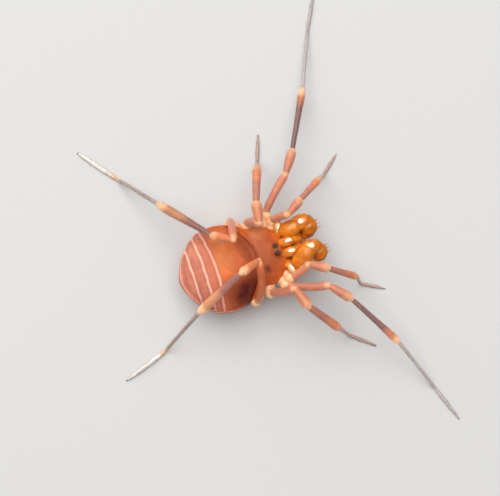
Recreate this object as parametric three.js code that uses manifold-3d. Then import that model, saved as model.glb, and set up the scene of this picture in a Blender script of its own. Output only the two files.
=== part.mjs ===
// A short-legged harvestman at life size, standing with its pedipalps folded in front of it.
// Millimetres, +Z up. The animal faces -Y and its left side is towards +X.
// Inside the body group, x = y = 0 lies under the midpoint between the eyes and z = 0 is the floor.
import * as THREE from "three";
import { mergeVertices } from "three/addons/utils/BufferGeometryUtils.js";
import Module from "manifold-3d";

const wasm = await Module();
wasm.setup();

// Clearances between neighbouring pieces
const JOINT_GAP = 0.1;
const EYE_GAP = 0.03;

// Fineness of the faceted surfaces
const LIMB_SIDES = 10;
const FOOT_SIDES = 8;
const BODY_SIDES = 36;
const SPINE_SIDES = 5;
const BALL_SEGMENTS = 12;
const WELD = 1e-4;

// Hind body: stations along the body, then half width and heights of the widest section
const HIND = {
  front: 0.6,
  widest: 2.95,
  rear: 5.12,
  halfWidth: 2.24,
  middle: 1.65,
  rise: 1.07,
  drop: 0.93,
  frontRound: 0.42,
  rearRound: 0.7,
  rings: 20,
};
// Furrows between the back plates: distance behind the eyes, and how far each side lags behind the middle
const FURROWS = [
  { at: 3.15, lag: 0.25 },
  { at: 3.72, lag: 0.1 },
  { at: 4.35, lag: -0.02 },
  { at: 4.86, lag: -0.03 },
];
const FURROW_WIDTH = 0.14;
const FURROW_DEPTH = 0.06;

// Fore body: carapace dome over the fused leg bases
const FORE = {
  front: -0.68,
  widest: 0.85,
  rear: 2.2,
  halfWidth: 1.54,
  middle: 1.6,
  rise: 0.83,
  drop: 0.72,
  frontRound: 0.62,
  rearRound: 0.5,
  rings: 14,
};
const EYE_MOUND = { height: 2.28, halfWidth: 0.4, halfLength: 0.3, rise: 0.3 };
const EYE = { side: 0.19, ahead: 0.02, height: 2.5, radius: 0.12 };

// Legs: where each pair's second joint sits, and the length of each segment
const TROCHANTER_HEIGHT = 1.65;
const LEG_PAIRS = {
  1: { side: 1.54, back: -0.25, femur: 1.47, patella: 0.99, tibia: 1.66, metatarsus: 1.95, tarsus: 1.2 },
  2: { side: 1.81, back: 0.08, femur: 2.5, patella: 1.28, tibia: 3.44, metatarsus: 3.47, tarsus: 1.88 },
  3: { side: 1.86, back: 0.97, femur: 1.77, patella: 1.12, tibia: 2.03, metatarsus: 2.2, tarsus: 1.35 },
  4: { side: 2.13, back: 1.76, femur: 2.82, patella: 1.32, tibia: 3.56, metatarsus: 3.37, tarsus: 2.34 },
};
// Pose: [bearing, elevation] of each segment in degrees, or the bearing alone where the floor sets the rest
// Bearing 0 points straight out to the leg's own side and 90 straight ahead.
const POSES = {
  left: {
    1: { femur: [96, 54], patella: [57, -11], tibia: [59, -24], metatarsus: 50, tarsus: 50 },
    2: { femur: [46, 8], patella: [34, -8], tibia: [28, -13], metatarsus: 23.6, tarsus: 28 },
    3: { femur: [127, 66], patella: [9, -16], tibia: [20, -21], metatarsus: 20, tarsus: 20 },
    4: { femur: [187, 65], patella: [-56, -33], tibia: [-39, -23.5], metatarsus: -36.5, tarsus: -38 },
  },
  right: {
    1: { femur: [107, 40], patella: [58, 9], tibia: [58, -26], metatarsus: 40, tarsus: 60 },
    2: { femur: [69, 32.5], patella: [41, 3], tibia: [31, -21.5], metatarsus: 22.6, tarsus: 19 },
    3: { femur: [75, 45], patella: [19, 5], tibia: [38, -23], metatarsus: 51, tarsus: 50 },
    4: { femur: [158, 47.5], patella: [-70, 36], tibia: [-68.5, -39], metatarsus: -63, tarsus: -71 },
  },
};
// How far each thigh bows away from the straight line between its joints: outward, ahead and up
const FEMUR_BOW = {
  1: { outward: 0.05, ahead: 0, up: 0.06 },
  2: { outward: 0.08, ahead: 0, up: 0.1 },
  3: { outward: 0.08, ahead: 0, up: 0.04 },
  4: { outward: 0.34, ahead: 0.1, up: 0.28 },
};
const LEG_RADIUS = {
  coxaRoot: 0.34,
  coxaEnd: 0.33,
  trochanter: 0.28,
  femur: 0.25,
  knee: 0.26,
  patella: 0.25,
  patellaEnd: 0.28,
  tibia: 0.24,
  tibiaEnd: 0.26,
  metatarsus: 0.24,
  ankle: 0.2,
  tarsusTip: 0.12,
};
// Where a limb's radius changes, as shares of its length, and the neck beyond a thigh's rounded end
const FEMUR_NECK = 0.12;
const FEMUR_SHARES = [0.5, 0.78];
const PATELLA_CLUB_SHARE = 0.55;
const TIBIA_CLUB_SHARE = 0.6;
const ROUND_END_SHARE = 0.72;
// The fused leg bases start this share of the way out, and this far behind that line
const COXA_ROOT = { share: 0.3, behind: 0.3, height: 1.15 };
const ANKLE_HEIGHT = 0.17;
const TIP_HEIGHT = 0.1;

// Mouthparts: [outward, ahead, height] of each joint
const CHELICERA = {
  root: [0.26, 0.3, 1.95],
  bulla: [0.26, 0.78, 2.1],
  wrist: [0.25, 0.98, 1.98],
  hand: [0.24, 1.14, 1.5],
  fingers: [
    [0.3, 1.22, 1.12],
    [0.16, 1.2, 1.12],
  ],
  rootRadius: 0.19,
  bullaRadius: 0.23,
  handRadius: 0.19,
  fingerRadius: 0.09,
  fingerTipRadius: 0.04,
};
// The pedipalps are folded differently: the left one's end turns inward, and the right one's outward
const PALP_POSES = {
  left: {
    trochanter: [1.03, 0.5, 1.85],
    elbow: [0.98, 1.58, 2.15],
    wrist: [0.93, 2.12, 2.02],
    tibiaEnd: [0.4, 1.96, 1.58],
    tarsusEnd: [0.22, 1.6, 1.38],
    clawTip: [0.3, 1.42, 1.12],
  },
  right: {
    trochanter: [1.05, 0.55, 1.85],
    elbow: [0.42, 1.78, 2.26],
    wrist: [0.4, 2.2, 2.06],
    tibiaEnd: [0.93, 2.2, 1.62],
    tarsusEnd: [0.84, 1.7, 1.42],
    clawTip: [0.72, 1.46, 1.3],
  },
};
const PEDIPALP = {
  trochanterRadius: 0.21,
  femurRadius: 0.32,
  elbowRadius: 0.26,
  tibiaRadius: 0.31,
  tarsusRadius: 0.2,
  tarsusEndRadius: 0.13,
  clawRadius: 0.08,
  clawTipRadius: 0.03,
};
const SPINE = { radius: 0.08, length: 0.36, sunk: 0.08 };
// Spines along the pedipalps: shares of the segment's length, and the way they point [outward, ahead, up]
const FEMUR_SPINES = { shares: [0.3, 0.55, 0.8], way: [0.1, 0, -1] };
const REAR_TIBIA_SPINES = { shares: [0.3, 0.8], way: [0, -1, -0.6] };
const FRONT_TIBIA_SPINES = { shares: [0.3, 0.8], way: [0, 1, -0.6] };
const TARSUS_SPINES = { shares: [0.45], way: [0.4, 0.2, -1] };
const TARSUS_SPINE_DEPTH = 0.16;

const MATERIALS = {
  carapace: new THREE.MeshStandardMaterial({ color: 0xb9552c, roughness: 0.5, metalness: 0 }),
  back: new THREE.MeshStandardMaterial({ color: 0xc65f38, roughness: 0.5, metalness: 0 }),
  eye: new THREE.MeshStandardMaterial({ color: 0x120d0b, roughness: 0.12, metalness: 0 }),
  mouthparts: new THREE.MeshStandardMaterial({ color: 0xc8761e, roughness: 0.18, metalness: 0 }),
  thigh: new THREE.MeshStandardMaterial({ color: 0xd9794f, roughness: 0.45, metalness: 0 }),
  shin: new THREE.MeshStandardMaterial({ color: 0xb87258, roughness: 0.45, metalness: 0 }),
  foot: new THREE.MeshStandardMaterial({ color: 0x94796a, roughness: 0.5, metalness: 0 }),
};

const UP = new THREE.Vector3(0, 0, 1);
const FLOOR = 0;
const FLOOR_BLOCK_SIZE = 60;

// Solids

function solidOf(geometry) {
  const bare = new THREE.BufferGeometry();
  bare.setAttribute("position", geometry.getAttribute("position").clone());
  if (geometry.index) bare.setIndex(geometry.index);
  const welded = mergeVertices(bare, WELD);
  return new wasm.Manifold(
    new wasm.Mesh({
      numProp: 3,
      vertProperties: new Float32Array(welded.getAttribute("position").array),
      triVerts: new Uint32Array(welded.index.array),
    }),
  );
}

function joined(solids) {
  return solids.reduce((whole, next) => whole.add(next));
}

function cutBy(solid, tools) {
  return tools.reduce((rest, tool) => rest.subtract(tool), solid);
}

// The biggest closed surface of a solid, which drops any scrap that a cut leaves
function geometryOf(solid) {
  const bodies = solid.decompose().sort((a, b) => b.volume() - a.volume());
  const mesh = bodies[0].getMesh();
  const positions = new Float32Array(mesh.numVert * 3);
  for (let i = 0; i < mesh.numVert; i++) {
    positions.set(mesh.vertProperties.subarray(i * mesh.numProp, i * mesh.numProp + 3), i * 3);
  }
  const geometry = new THREE.BufferGeometry();
  geometry.setAttribute("position", new THREE.BufferAttribute(positions, 3));
  geometry.setIndex(new THREE.BufferAttribute(new Uint32Array(mesh.triVerts), 1));
  return geometry;
}

// Hangs a solid in a group as a named mesh whose own origin is the joint it turns about
function addNode(group, name, solid, joint, material) {
  const geometry = geometryOf(solid);
  geometry.translate(-joint.x, -joint.y, -joint.z);
  geometry.computeVertexNormals();
  const mesh = new THREE.Mesh(geometry, material);
  mesh.name = name;
  mesh.position.copy(joint).sub(group.position);
  group.add(mesh);
}

// Round forms

// A round limb along a curve. Stations are [distance from the start, radius]; beyond the ends of the
// curve they go straight on, and grow widens the limb and both its ends.
function limb(curve, stations, sides = LIMB_SIDES, grow = 0) {
  const rings = stations.length - 1;
  const geometry = new THREE.CylinderGeometry(1, 1, 1, sides, rings);
  const length = curve.getLength();
  const chord = curve.getPointAt(1).sub(curve.getPointAt(0)).normalize();
  const reference = Math.abs(chord.z) > 0.8 ? new THREE.Vector3(1, 0, 0) : UP;
  const position = geometry.getAttribute("position");
  for (let i = 0; i < position.count; i++) {
    const ring = Math.round((0.5 - position.getY(i)) * rings);
    const stretch = ring === 0 ? -grow : ring === rings ? grow : 0;
    const distance = stations[ring][0] + stretch;
    const along = THREE.MathUtils.clamp(distance / length, 0, 1);
    const tangent = curve.getTangentAt(along);
    const across = new THREE.Vector3().crossVectors(tangent, reference).normalize();
    const upward = new THREE.Vector3().crossVectors(tangent, across);
    const centre = curve.getPointAt(along).addScaledVector(tangent, distance - along * length);
    const radius = stations[ring][1] + grow;
    centre.addScaledVector(across, position.getX(i) * radius);
    centre.addScaledVector(upward, position.getZ(i) * radius);
    position.setXYZ(i, centre.x, centre.y, centre.z);
  }
  return solidOf(geometry);
}

// Stations of a limb of the given length with a rounded end of its own radius at each joint
function roundEnded(length, startRadius, endRadius, between = []) {
  return [
    [-startRadius * ROUND_END_SHARE, startRadius * ROUND_END_SHARE],
    [0, startRadius],
    ...between.map(([share, radius]) => [share * length, radius]),
    [length, endRadius],
    [length + endRadius * ROUND_END_SHARE, endRadius * ROUND_END_SHARE],
  ];
}

// A body form turned about the long axis, then given its own rise above and drop below the middle height
function bodyForm(form, grow = 0, furrows = []) {
  const share = (y) =>
    y < form.widest
      ? Math.pow(Math.max(0, 1 - ((form.widest - y) / (form.widest - form.front)) ** 2), form.frontRound)
      : Math.pow(Math.max(0, 1 - ((y - form.widest) / (form.rear - form.widest)) ** 2), form.rearRound);
  const stations = new Set();
  for (let i = 0; i <= form.rings; i++) {
    const turn = -Math.cos((Math.PI * i) / form.rings);
    const reach = turn < 0 ? form.widest - form.front : form.rear - form.widest;
    const y = form.widest + turn * reach;
    if (!furrows.some((furrow) => Math.abs(furrow.at - y) < FURROW_WIDTH)) stations.add(y);
  }
  for (const furrow of furrows) {
    [-1, 0, 1].forEach((side) => stations.add(furrow.at + (side * FURROW_WIDTH) / 2));
  }
  const ordered = [...stations].sort((a, b) => a - b);
  const profile = ordered.map((y) => new THREE.Vector2(share(y), y));
  const geometry = new THREE.LatheGeometry(profile, BODY_SIDES);
  const position = geometry.getAttribute("position");
  for (let i = 0; i < position.count; i++) {
    const y = position.getY(i);
    const across = position.getX(i);
    const height = position.getZ(i);
    const furrow = furrows.find((one) => Math.abs(one.at - y) < FURROW_WIDTH / 4);
    const sink = furrow ? FURROW_DEPTH : 0;
    const spread = across / Math.max(share(y), WELD);
    const nearest = furrows.find((one) => Math.abs(one.at - y) < FURROW_WIDTH);
    const lag = nearest ? nearest.lag * spread * spread : 0;
    const end = share(y) === 0 ? grow * Math.sign(y - form.widest) : 0;
    position.setXYZ(
      i,
      across * (form.halfWidth + grow - sink),
      y + lag + end,
      form.middle + height * ((height > 0 ? form.rise : form.drop) + grow - sink),
    );
  }
  return solidOf(geometry);
}

function ball(centre, radii) {
  const geometry = new THREE.SphereGeometry(1, BALL_SEGMENTS, BALL_SEGMENTS);
  geometry.scale(radii.x, radii.y, radii.z);
  geometry.translate(centre.x, centre.y, centre.z);
  return solidOf(geometry);
}

function roundBall(centre, radius) {
  return ball(centre, new THREE.Vector3(radius, radius, radius));
}

// Directions and points of one side of the animal: side is +1 on its left and -1 on its right

function heading(side, bearing, elevation) {
  const turn = THREE.MathUtils.degToRad(bearing);
  const lift = THREE.MathUtils.degToRad(elevation);
  return new THREE.Vector3(
    side * Math.cos(lift) * Math.cos(turn),
    -Math.cos(lift) * Math.sin(turn),
    Math.sin(lift),
  );
}

function sidePoint(side, [outward, ahead, height]) {
  return new THREE.Vector3(side * outward, -ahead, height);
}

// Legs

// Elevation at which a segment of this length drops from one height to another
function elevationTo(fromHeight, toHeight, length) {
  return THREE.MathUtils.radToDeg(Math.asin((toHeight - fromHeight) / length));
}

function legJoints(pair, sideName) {
  const side = sideName === "left" ? 1 : -1;
  const size = LEG_PAIRS[pair];
  const pose = POSES[sideName][pair];
  const trochanter = new THREE.Vector3(side * size.side, size.back, TROCHANTER_HEIGHT);
  const step = (from, length, bearing, elevation) =>
    from.clone().addScaledVector(heading(side, bearing, elevation), length);
  const knee = step(trochanter, size.femur, ...pose.femur);
  const patellaEnd = step(knee, size.patella, ...pose.patella);
  const tibiaEnd = step(patellaEnd, size.tibia, ...pose.tibia);
  const descent = elevationTo(tibiaEnd.z, ANKLE_HEIGHT, size.metatarsus);
  const ankle = step(tibiaEnd, size.metatarsus, pose.metatarsus, descent);
  const slope = elevationTo(ANKLE_HEIGHT, TIP_HEIGHT, size.tarsus);
  const tip = step(ankle, size.tarsus, pose.tarsus, slope);
  return { side, trochanter, knee, patellaEnd, tibiaEnd, ankle, tip };
}

function femurLimb(pair, joints, grow = 0) {
  const bow = FEMUR_BOW[pair];
  const middle = joints.trochanter.clone().lerp(joints.knee, 0.5);
  // A quadratic curve passes half way between its chord and its middle point
  middle.x += joints.side * bow.outward * 2;
  middle.y -= bow.ahead * 2;
  middle.z += bow.up * 2;
  const curve = new THREE.QuadraticBezierCurve3(joints.trochanter, middle, joints.knee);
  const length = curve.getLength();
  const neck = (LEG_RADIUS.trochanter + FEMUR_NECK) / length;
  const between = [neck, ...FEMUR_SHARES].map((share) => [share, LEG_RADIUS.femur]);
  const stations = roundEnded(length, LEG_RADIUS.trochanter, LEG_RADIUS.knee, between);
  return limb(curve, stations, LIMB_SIDES, grow);
}

function straightLimb(from, to, startRadius, endRadius, between, sides = LIMB_SIDES, grow = 0) {
  const curve = new THREE.LineCurve3(from, to);
  const stations = roundEnded(from.distanceTo(to), startRadius, endRadius, between);
  return limb(curve, stations, sides, grow);
}

function tibiaLimb(joints, grow = 0) {
  const r = LEG_RADIUS;
  const club = [[TIBIA_CLUB_SHARE, r.tibia]];
  return straightLimb(joints.patellaEnd, joints.tibiaEnd, r.tibia, r.tibiaEnd, club, LIMB_SIDES, grow);
}

function floorBlock() {
  const depth = 1;
  const block = new THREE.BoxGeometry(FLOOR_BLOCK_SIZE, FLOOR_BLOCK_SIZE, depth);
  block.translate(0, 0, FLOOR - depth / 2);
  return solidOf(block);
}

function addLeg(parent, pair, sideName, joints) {
  const r = LEG_RADIUS;
  const leg = new THREE.Group();
  leg.position.copy(joints.trochanter);
  parent.add(leg);
  const name = `leg_${pair}_${sideName}`;

  addNode(leg, `${name}_femur`, femurLimb(pair, joints), joints.trochanter, MATERIALS.thigh);

  const club = [[PATELLA_CLUB_SHARE, r.patella]];
  const patella = straightLimb(joints.knee, joints.patellaEnd, r.patella, r.patellaEnd, club);
  const shin = cutBy(joined([patella, tibiaLimb(joints)]), [femurLimb(pair, joints, JOINT_GAP)]);
  addNode(leg, `${name}_tibia`, shin, joints.knee, MATERIALS.shin);

  const metatarsus = straightLimb(joints.tibiaEnd, joints.ankle, r.metatarsus, r.ankle, [], FOOT_SIDES);
  const tarsus = straightLimb(joints.ankle, joints.tip, r.ankle, r.tarsusTip, [], FOOT_SIDES);
  const foot = cutBy(joined([metatarsus, tarsus]), [tibiaLimb(joints, JOINT_GAP), floorBlock()]);
  addNode(leg, `${name}_foot`, foot, joints.tibiaEnd, MATERIALS.foot);
}

// Fused base of one leg, from near the middle of the underside out to its second joint
function coxa(joints) {
  const root = new THREE.Vector3(
    joints.trochanter.x * COXA_ROOT.share,
    joints.trochanter.y * COXA_ROOT.share + COXA_ROOT.behind,
    COXA_ROOT.height,
  );
  return straightLimb(root, joints.trochanter, LEG_RADIUS.coxaRoot, LEG_RADIUS.coxaEnd, []);
}

// Mouthparts

function cheliceraSolid(side, grow = 0) {
  const c = CHELICERA;
  const [root, bulla, wrist, hand] = [c.root, c.bulla, c.wrist, c.hand].map((p) => sidePoint(side, p));
  const base = straightLimb(root, bulla, c.rootRadius, c.bullaRadius, [], LIMB_SIDES, grow);
  const palm = straightLimb(wrist, hand, c.handRadius, c.handRadius, [], LIMB_SIDES, grow);
  const fingers = c.fingers.map((tip) =>
    straightLimb(hand, sidePoint(side, tip), c.fingerRadius, c.fingerTipRadius, [], SPINE_SIDES, grow),
  );
  return joined([base, palm, ...fingers]);
}

function spine(at, direction) {
  const geometry = new THREE.ConeGeometry(SPINE.radius, SPINE.length + SPINE.sunk, SPINE_SIDES);
  geometry.translate(0, (SPINE.length + SPINE.sunk) / 2 - SPINE.sunk, 0);
  const turn = new THREE.Quaternion().setFromUnitVectors(new THREE.Vector3(0, 1, 0), direction);
  geometry.applyQuaternion(turn);
  geometry.translate(at.x, at.y, at.z);
  return solidOf(geometry);
}

// A row of spines along one edge of a limb, standing square to its axis
function spineRow(side, from, to, radius, row) {
  const axis = to.clone().sub(from).normalize();
  const outward = sidePoint(side, row.way);
  const direction = outward.addScaledVector(axis, -outward.dot(axis)).normalize();
  return row.shares.map((share) =>
    spine(from.clone().lerp(to, share).addScaledVector(direction, radius), direction),
  );
}

function pedipalpJoints(side) {
  const pose = side > 0 ? PALP_POSES.left : PALP_POSES.right;
  return Object.fromEntries(Object.entries(pose).map(([name, place]) => [name, sidePoint(side, place)]));
}

function pedipalpFemur(side, grow = 0) {
  const p = PEDIPALP;
  const j = pedipalpJoints(side);
  const thigh = straightLimb(
    j.trochanter,
    j.elbow,
    p.trochanterRadius,
    p.elbowRadius,
    [[0.5, p.femurRadius]],
    LIMB_SIDES,
    grow,
  );
  return joined([thigh, ...spineRow(side, j.trochanter, j.elbow, p.femurRadius, FEMUR_SPINES)]);
}

function pedipalpTibia(side) {
  const p = PEDIPALP;
  const j = pedipalpJoints(side);
  const patella = straightLimb(j.elbow, j.wrist, p.elbowRadius, p.elbowRadius, []);
  const tibia = straightLimb(j.wrist, j.tibiaEnd, p.elbowRadius, p.tarsusRadius, [[0.5, p.tibiaRadius]]);
  const tarsus = straightLimb(j.tibiaEnd, j.tarsusEnd, p.tarsusRadius, p.tarsusEndRadius, []);
  const claw = straightLimb(j.tarsusEnd, j.clawTip, p.clawRadius, p.clawTipRadius, [], SPINE_SIDES);
  return joined([
    patella,
    tibia,
    tarsus,
    claw,
    ...spineRow(side, j.wrist, j.tibiaEnd, p.tibiaRadius, REAR_TIBIA_SPINES),
    ...spineRow(side, j.wrist, j.tibiaEnd, p.tibiaRadius, FRONT_TIBIA_SPINES),
    ...spineRow(side, j.tibiaEnd, j.tarsusEnd, TARSUS_SPINE_DEPTH, TARSUS_SPINES),
  ]);
}

// Assembly

const animal = new THREE.Group();
const SIDES = [
  ["left", 1],
  ["right", -1],
];
const legs = [];
for (const [sideName] of SIDES) {
  for (const pair of Object.keys(LEG_PAIRS)) {
    legs.push({ pair, sideName, joints: legJoints(pair, sideName) });
  }
}

const grownFemora = legs.map(({ pair, joints }) => femurLimb(pair, joints, JOINT_GAP));
const grownChelicerae = SIDES.map(([, side]) => cheliceraSolid(side, JOINT_GAP));
const origin = new THREE.Vector3();
const eyeCentres = SIDES.map(([, side]) => sidePoint(side, [EYE.side, EYE.ahead, EYE.height]));
const eyeMound = ball(
  new THREE.Vector3(0, 0, EYE_MOUND.height),
  new THREE.Vector3(EYE_MOUND.halfWidth, EYE_MOUND.halfLength, EYE_MOUND.rise),
);
const foreBody = cutBy(joined([bodyForm(FORE), eyeMound, ...legs.map(({ joints }) => coxa(joints))]), [
  bodyForm(HIND, JOINT_GAP),
  ...grownFemora,
  ...grownChelicerae,
  ...SIDES.map(([, side]) => pedipalpFemur(side, JOINT_GAP)),
  ...eyeCentres.map((centre) => roundBall(centre, EYE.radius + EYE_GAP)),
]);
addNode(animal, "prosoma", foreBody, origin, MATERIALS.carapace);
addNode(animal, "opisthosoma", cutBy(bodyForm(HIND, 0, FURROWS), grownFemora), origin, MATERIALS.back);

SIDES.forEach(([sideName, side], i) => {
  addNode(animal, `eye_${sideName}`, roundBall(eyeCentres[i], EYE.radius), eyeCentres[i], MATERIALS.eye);

  const root = sidePoint(side, CHELICERA.root);
  addNode(animal, `chelicera_${sideName}`, cheliceraSolid(side), root, MATERIALS.mouthparts);

  const palp = new THREE.Group();
  const { trochanter, elbow } = pedipalpJoints(side);
  palp.position.copy(trochanter);
  animal.add(palp);
  const thigh = cutBy(pedipalpFemur(side), [...grownFemora, ...grownChelicerae]);
  addNode(palp, `pedipalp_${sideName}_femur`, thigh, trochanter, MATERIALS.mouthparts);
  const folded = cutBy(pedipalpTibia(side), [pedipalpFemur(side, JOINT_GAP), ...grownChelicerae]);
  addNode(palp, `pedipalp_${sideName}_tibia`, folded, elbow, MATERIALS.mouthparts);
});
legs.forEach(({ pair, sideName, joints }) => addLeg(animal, pair, sideName, joints));

// The model's own origin is on the floor, under the middle of its bounding box
const harvestman = new THREE.Group();
harvestman.add(animal);
const extent = new THREE.Box3().setFromObject(animal);
const middle = extent.getCenter(new THREE.Vector3());
animal.position.set(-middle.x, -middle.y, -extent.min.z);

export default harvestman;
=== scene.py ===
import math
import random

import bmesh
import bpy
from mathutils import Matrix, Vector


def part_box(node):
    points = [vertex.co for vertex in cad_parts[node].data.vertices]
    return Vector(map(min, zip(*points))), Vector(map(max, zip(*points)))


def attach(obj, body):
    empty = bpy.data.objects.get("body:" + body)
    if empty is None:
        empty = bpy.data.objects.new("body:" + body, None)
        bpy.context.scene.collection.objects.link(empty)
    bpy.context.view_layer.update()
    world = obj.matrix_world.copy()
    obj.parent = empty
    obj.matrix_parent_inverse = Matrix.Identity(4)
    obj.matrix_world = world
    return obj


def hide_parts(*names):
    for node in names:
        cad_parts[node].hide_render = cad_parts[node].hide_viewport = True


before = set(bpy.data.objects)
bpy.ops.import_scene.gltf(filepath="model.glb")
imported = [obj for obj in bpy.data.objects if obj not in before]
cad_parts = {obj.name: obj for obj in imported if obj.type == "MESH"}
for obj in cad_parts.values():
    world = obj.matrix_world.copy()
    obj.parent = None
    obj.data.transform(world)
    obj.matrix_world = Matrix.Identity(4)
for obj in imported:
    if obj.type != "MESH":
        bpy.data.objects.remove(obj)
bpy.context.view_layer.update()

bl_info = {
    "name": "Harvestman",
    "version": (1, 0, 0),
    "blender": (4, 5, 0),
    "location": "3D View > Sidebar > Harvestman",
    "description": "Dresses the packed solids of a short-legged harvestman and sets its studio",
    "category": "Add Mesh",
}

MM = 0.001
SIDES = {"left": 1, "right": -1}

# Eyes: distance from the midline, ahead of the frame's zero and above the floor, as in the solids, and the
# share of their solids that the lenses fill
EYE = {"side": 0.19, "ahead": 0.02, "height": 2.5, "share": 0.88}


def frame_origin():
    """Where the animal's own zero lies in the model's frame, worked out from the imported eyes."""
    corners = [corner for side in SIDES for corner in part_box(f"eye_{side}")]
    middle = sum(corners, Vector()) / len(corners)
    return Vector((middle.x, middle.y + EYE["ahead"] * MM, middle.z - EYE["height"] * MM))


ORIGIN = frame_origin()
TO_MODEL = Matrix.Translation(ORIGIN) @ Matrix.Scale(MM, 4)

# Camera: tilt from straight down, how far the head points above the picture's right, lens and distance
CAMERA = {"tilt": 6.0, "heading": 18.5, "lens": 129.6, "sensor": 36.0, "distance": 90.0}
# Where the midpoint between the eyes stands in the picture, in mm right of and above its middle
EYES_IN_PICTURE = (1.305, -0.085)

# Trunk: fore body and hind body as rounded forms along the midline
FORE = {
    "front": -0.68,
    "widest": 0.85,
    "rear": 2.2,
    "half_width": 1.54,
    "middle": 1.6,
    "rise": 0.83,
    "drop": 0.6,
    "front_round": 0.62,
    "rear_round": 0.5,
}
HIND = {
    "front": 0.6,
    "widest": 2.95,
    "rear": 5.12,
    "half_width": 2.24,
    "middle": 1.65,
    "rise": 1.07,
    "drop": 0.93,
    "front_round": 0.42,
    "rear_round": 0.7,
}
# How squarely the trunk's sections are rounded, across and in height, and how finely it is divided
TRUNK_ROUNDING = (0.9, 0.92)
TRUNK_GRID = {"u_segments": 144, "v_segments": 320}
# Pale lines across the back: distance behind the eyes, and how far the line's ends lie behind its middle
BACK_LINES = [(3.15, 0.3), (3.72, 0.14), (4.33, 0.02)]
# Half width and softness of the pale lines and of the shadow round each
LINE_WIDTH = (0.056, 0.042)
LINE_SHADOW = (0.13, 0.1)
# Furrow between fore and hind body: place in the middle, how much it bends back with the width, and form
WAIST = {"at": 1.0, "lag": 0.25, "depth": 0.04, "width": 0.07}
EYE_MOUND = {"rise": 0.3, "half_width": 0.34, "half_length": 0.25}
# Ridge round the hind body and the groove above it: how far each stands out or sinks in, and its width
RIM = {"height": 1.9, "ridge": (0.03, 0.07), "groove": (0.02, 0.06), "groove_above": 0.16}
# Margin of the fore body: how far ridge and groove stand out or sink in, at which lift, and how wide
MARGIN = {"ridge": (0.04, 0.2, 0.1), "groove": (0.02, 0.42, 0.1)}
# Width of the furrows, and how far behind a furrow of the back its plate swells, how much and how widely
FURROW = {"back": 0.05, "belly": 0.045}
SWELL = {"behind": 0.25, "share": 0.4, "width": 0.14}
# Furrows between the plates of the belly: distance behind the eyes, and how far their ends lie ahead of it
BELLY_LINES = (2.75, 3.2, 3.65, 4.05, 4.4, 4.72)
BELLY_BEND = 0.15
# Markings of the trunk seen from above: middle, outward and behind the eyes, and reach across and along
MARKINGS = {
    "mound": ((0, 0), (0.27, 0.16)),
    "eye_socket": ((EYE["side"], -EYE["ahead"]), (0.16, 0.16)),
    # Side spots: dark pigment, painted much stronger on the right as painted shade
    "side_spot_and_shade": ((0.76, 0.68), (0.36, 0.24)),
    # Painted light: the paler patch on the left of the fore body, where the light falls
    "painted_light_side": ((1.25, 0.65), (0.75, 0.65)),
    # Painted highlight: a paler patch on the front plate of the hind body, where light falls on its dome
    "front_plate_highlight": ((0.6, 2.6), (1.8, 0.9)),
    # Flanks: darkened partly by pigment and partly by painted shade, far more on the right
    "flank_pigment_and_shade": ((1.6, 1.98), (1.1, 1.4)),
    # Painted shade: a faint darkening in the middle of the plate between the second and third pale lines
    "third_plate_shade": ((-0.4, 4.0), (1.6, 0.36)),
}

# Legs, as in the solids: how far out and behind the eyes the second joint sits, and each segment's length
HIP_HEIGHT = 1.65
LEG_MEASURES = ("side", "back", "femur", "patella", "tibia", "metatarsus", "tarsus")
LEGS = {
    1: dict(zip(LEG_MEASURES, (1.54, -0.25, 1.47, 0.99, 1.66, 1.95, 1.2))),
    2: dict(zip(LEG_MEASURES, (1.81, 0.08, 2.5, 1.28, 3.44, 3.47, 1.88))),
    3: dict(zip(LEG_MEASURES, (1.86, 0.97, 1.77, 1.12, 2.03, 2.2, 1.35))),
    4: dict(zip(LEG_MEASURES, (2.13, 1.76, 2.82, 1.32, 3.56, 3.37, 2.34))),
}
# Bearing and elevation of each segment in degrees, then the bearings of the two that lead down to the floor
POSES = {
    "left": {
        1: ((96, 54), (57, -11), (59, -24), 50, 50),
        2: ((46, 8), (34, -8), (28, -13), 23.6, 28),
        3: ((127, 66), (9, -16), (20, -21), 20, 20),
        4: ((187, 65), (-56, -33), (-39, -23.5), -36.5, -38),
    },
    "right": {
        1: ((107, 40), (58, 9), (58, -26), 40, 60),
        2: ((69, 32.5), (41, 3), (31, -21.5), 22.6, 19),
        3: ((75, 45), (19, 5), (38, -23), 51, 50),
        4: ((158, 47.5), (-70, 36), (-68.5, -39), -63, -71),
    },
}
# How far the middle of each thigh is bowed outward, ahead and up
FEMUR_BOWS = {1: (0.05, 0, 0.06), 2: (0.08, 0, 0.1), 3: (0.08, 0, 0.04), 4: (0.34, 0.1, 0.28)}
# Heights of the foot's joints, which lie lower than in the thicker solids, and the least gap under a hair
ANKLE_HEIGHT = 0.105
TIP_HEIGHT = 0.06
FLOOR_GAP = 0.004
# Factor on the thickness of each pair
GIRTHS = {1: 0.93, 2: 0.95, 3: 1.04, 4: 1.04}

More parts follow.
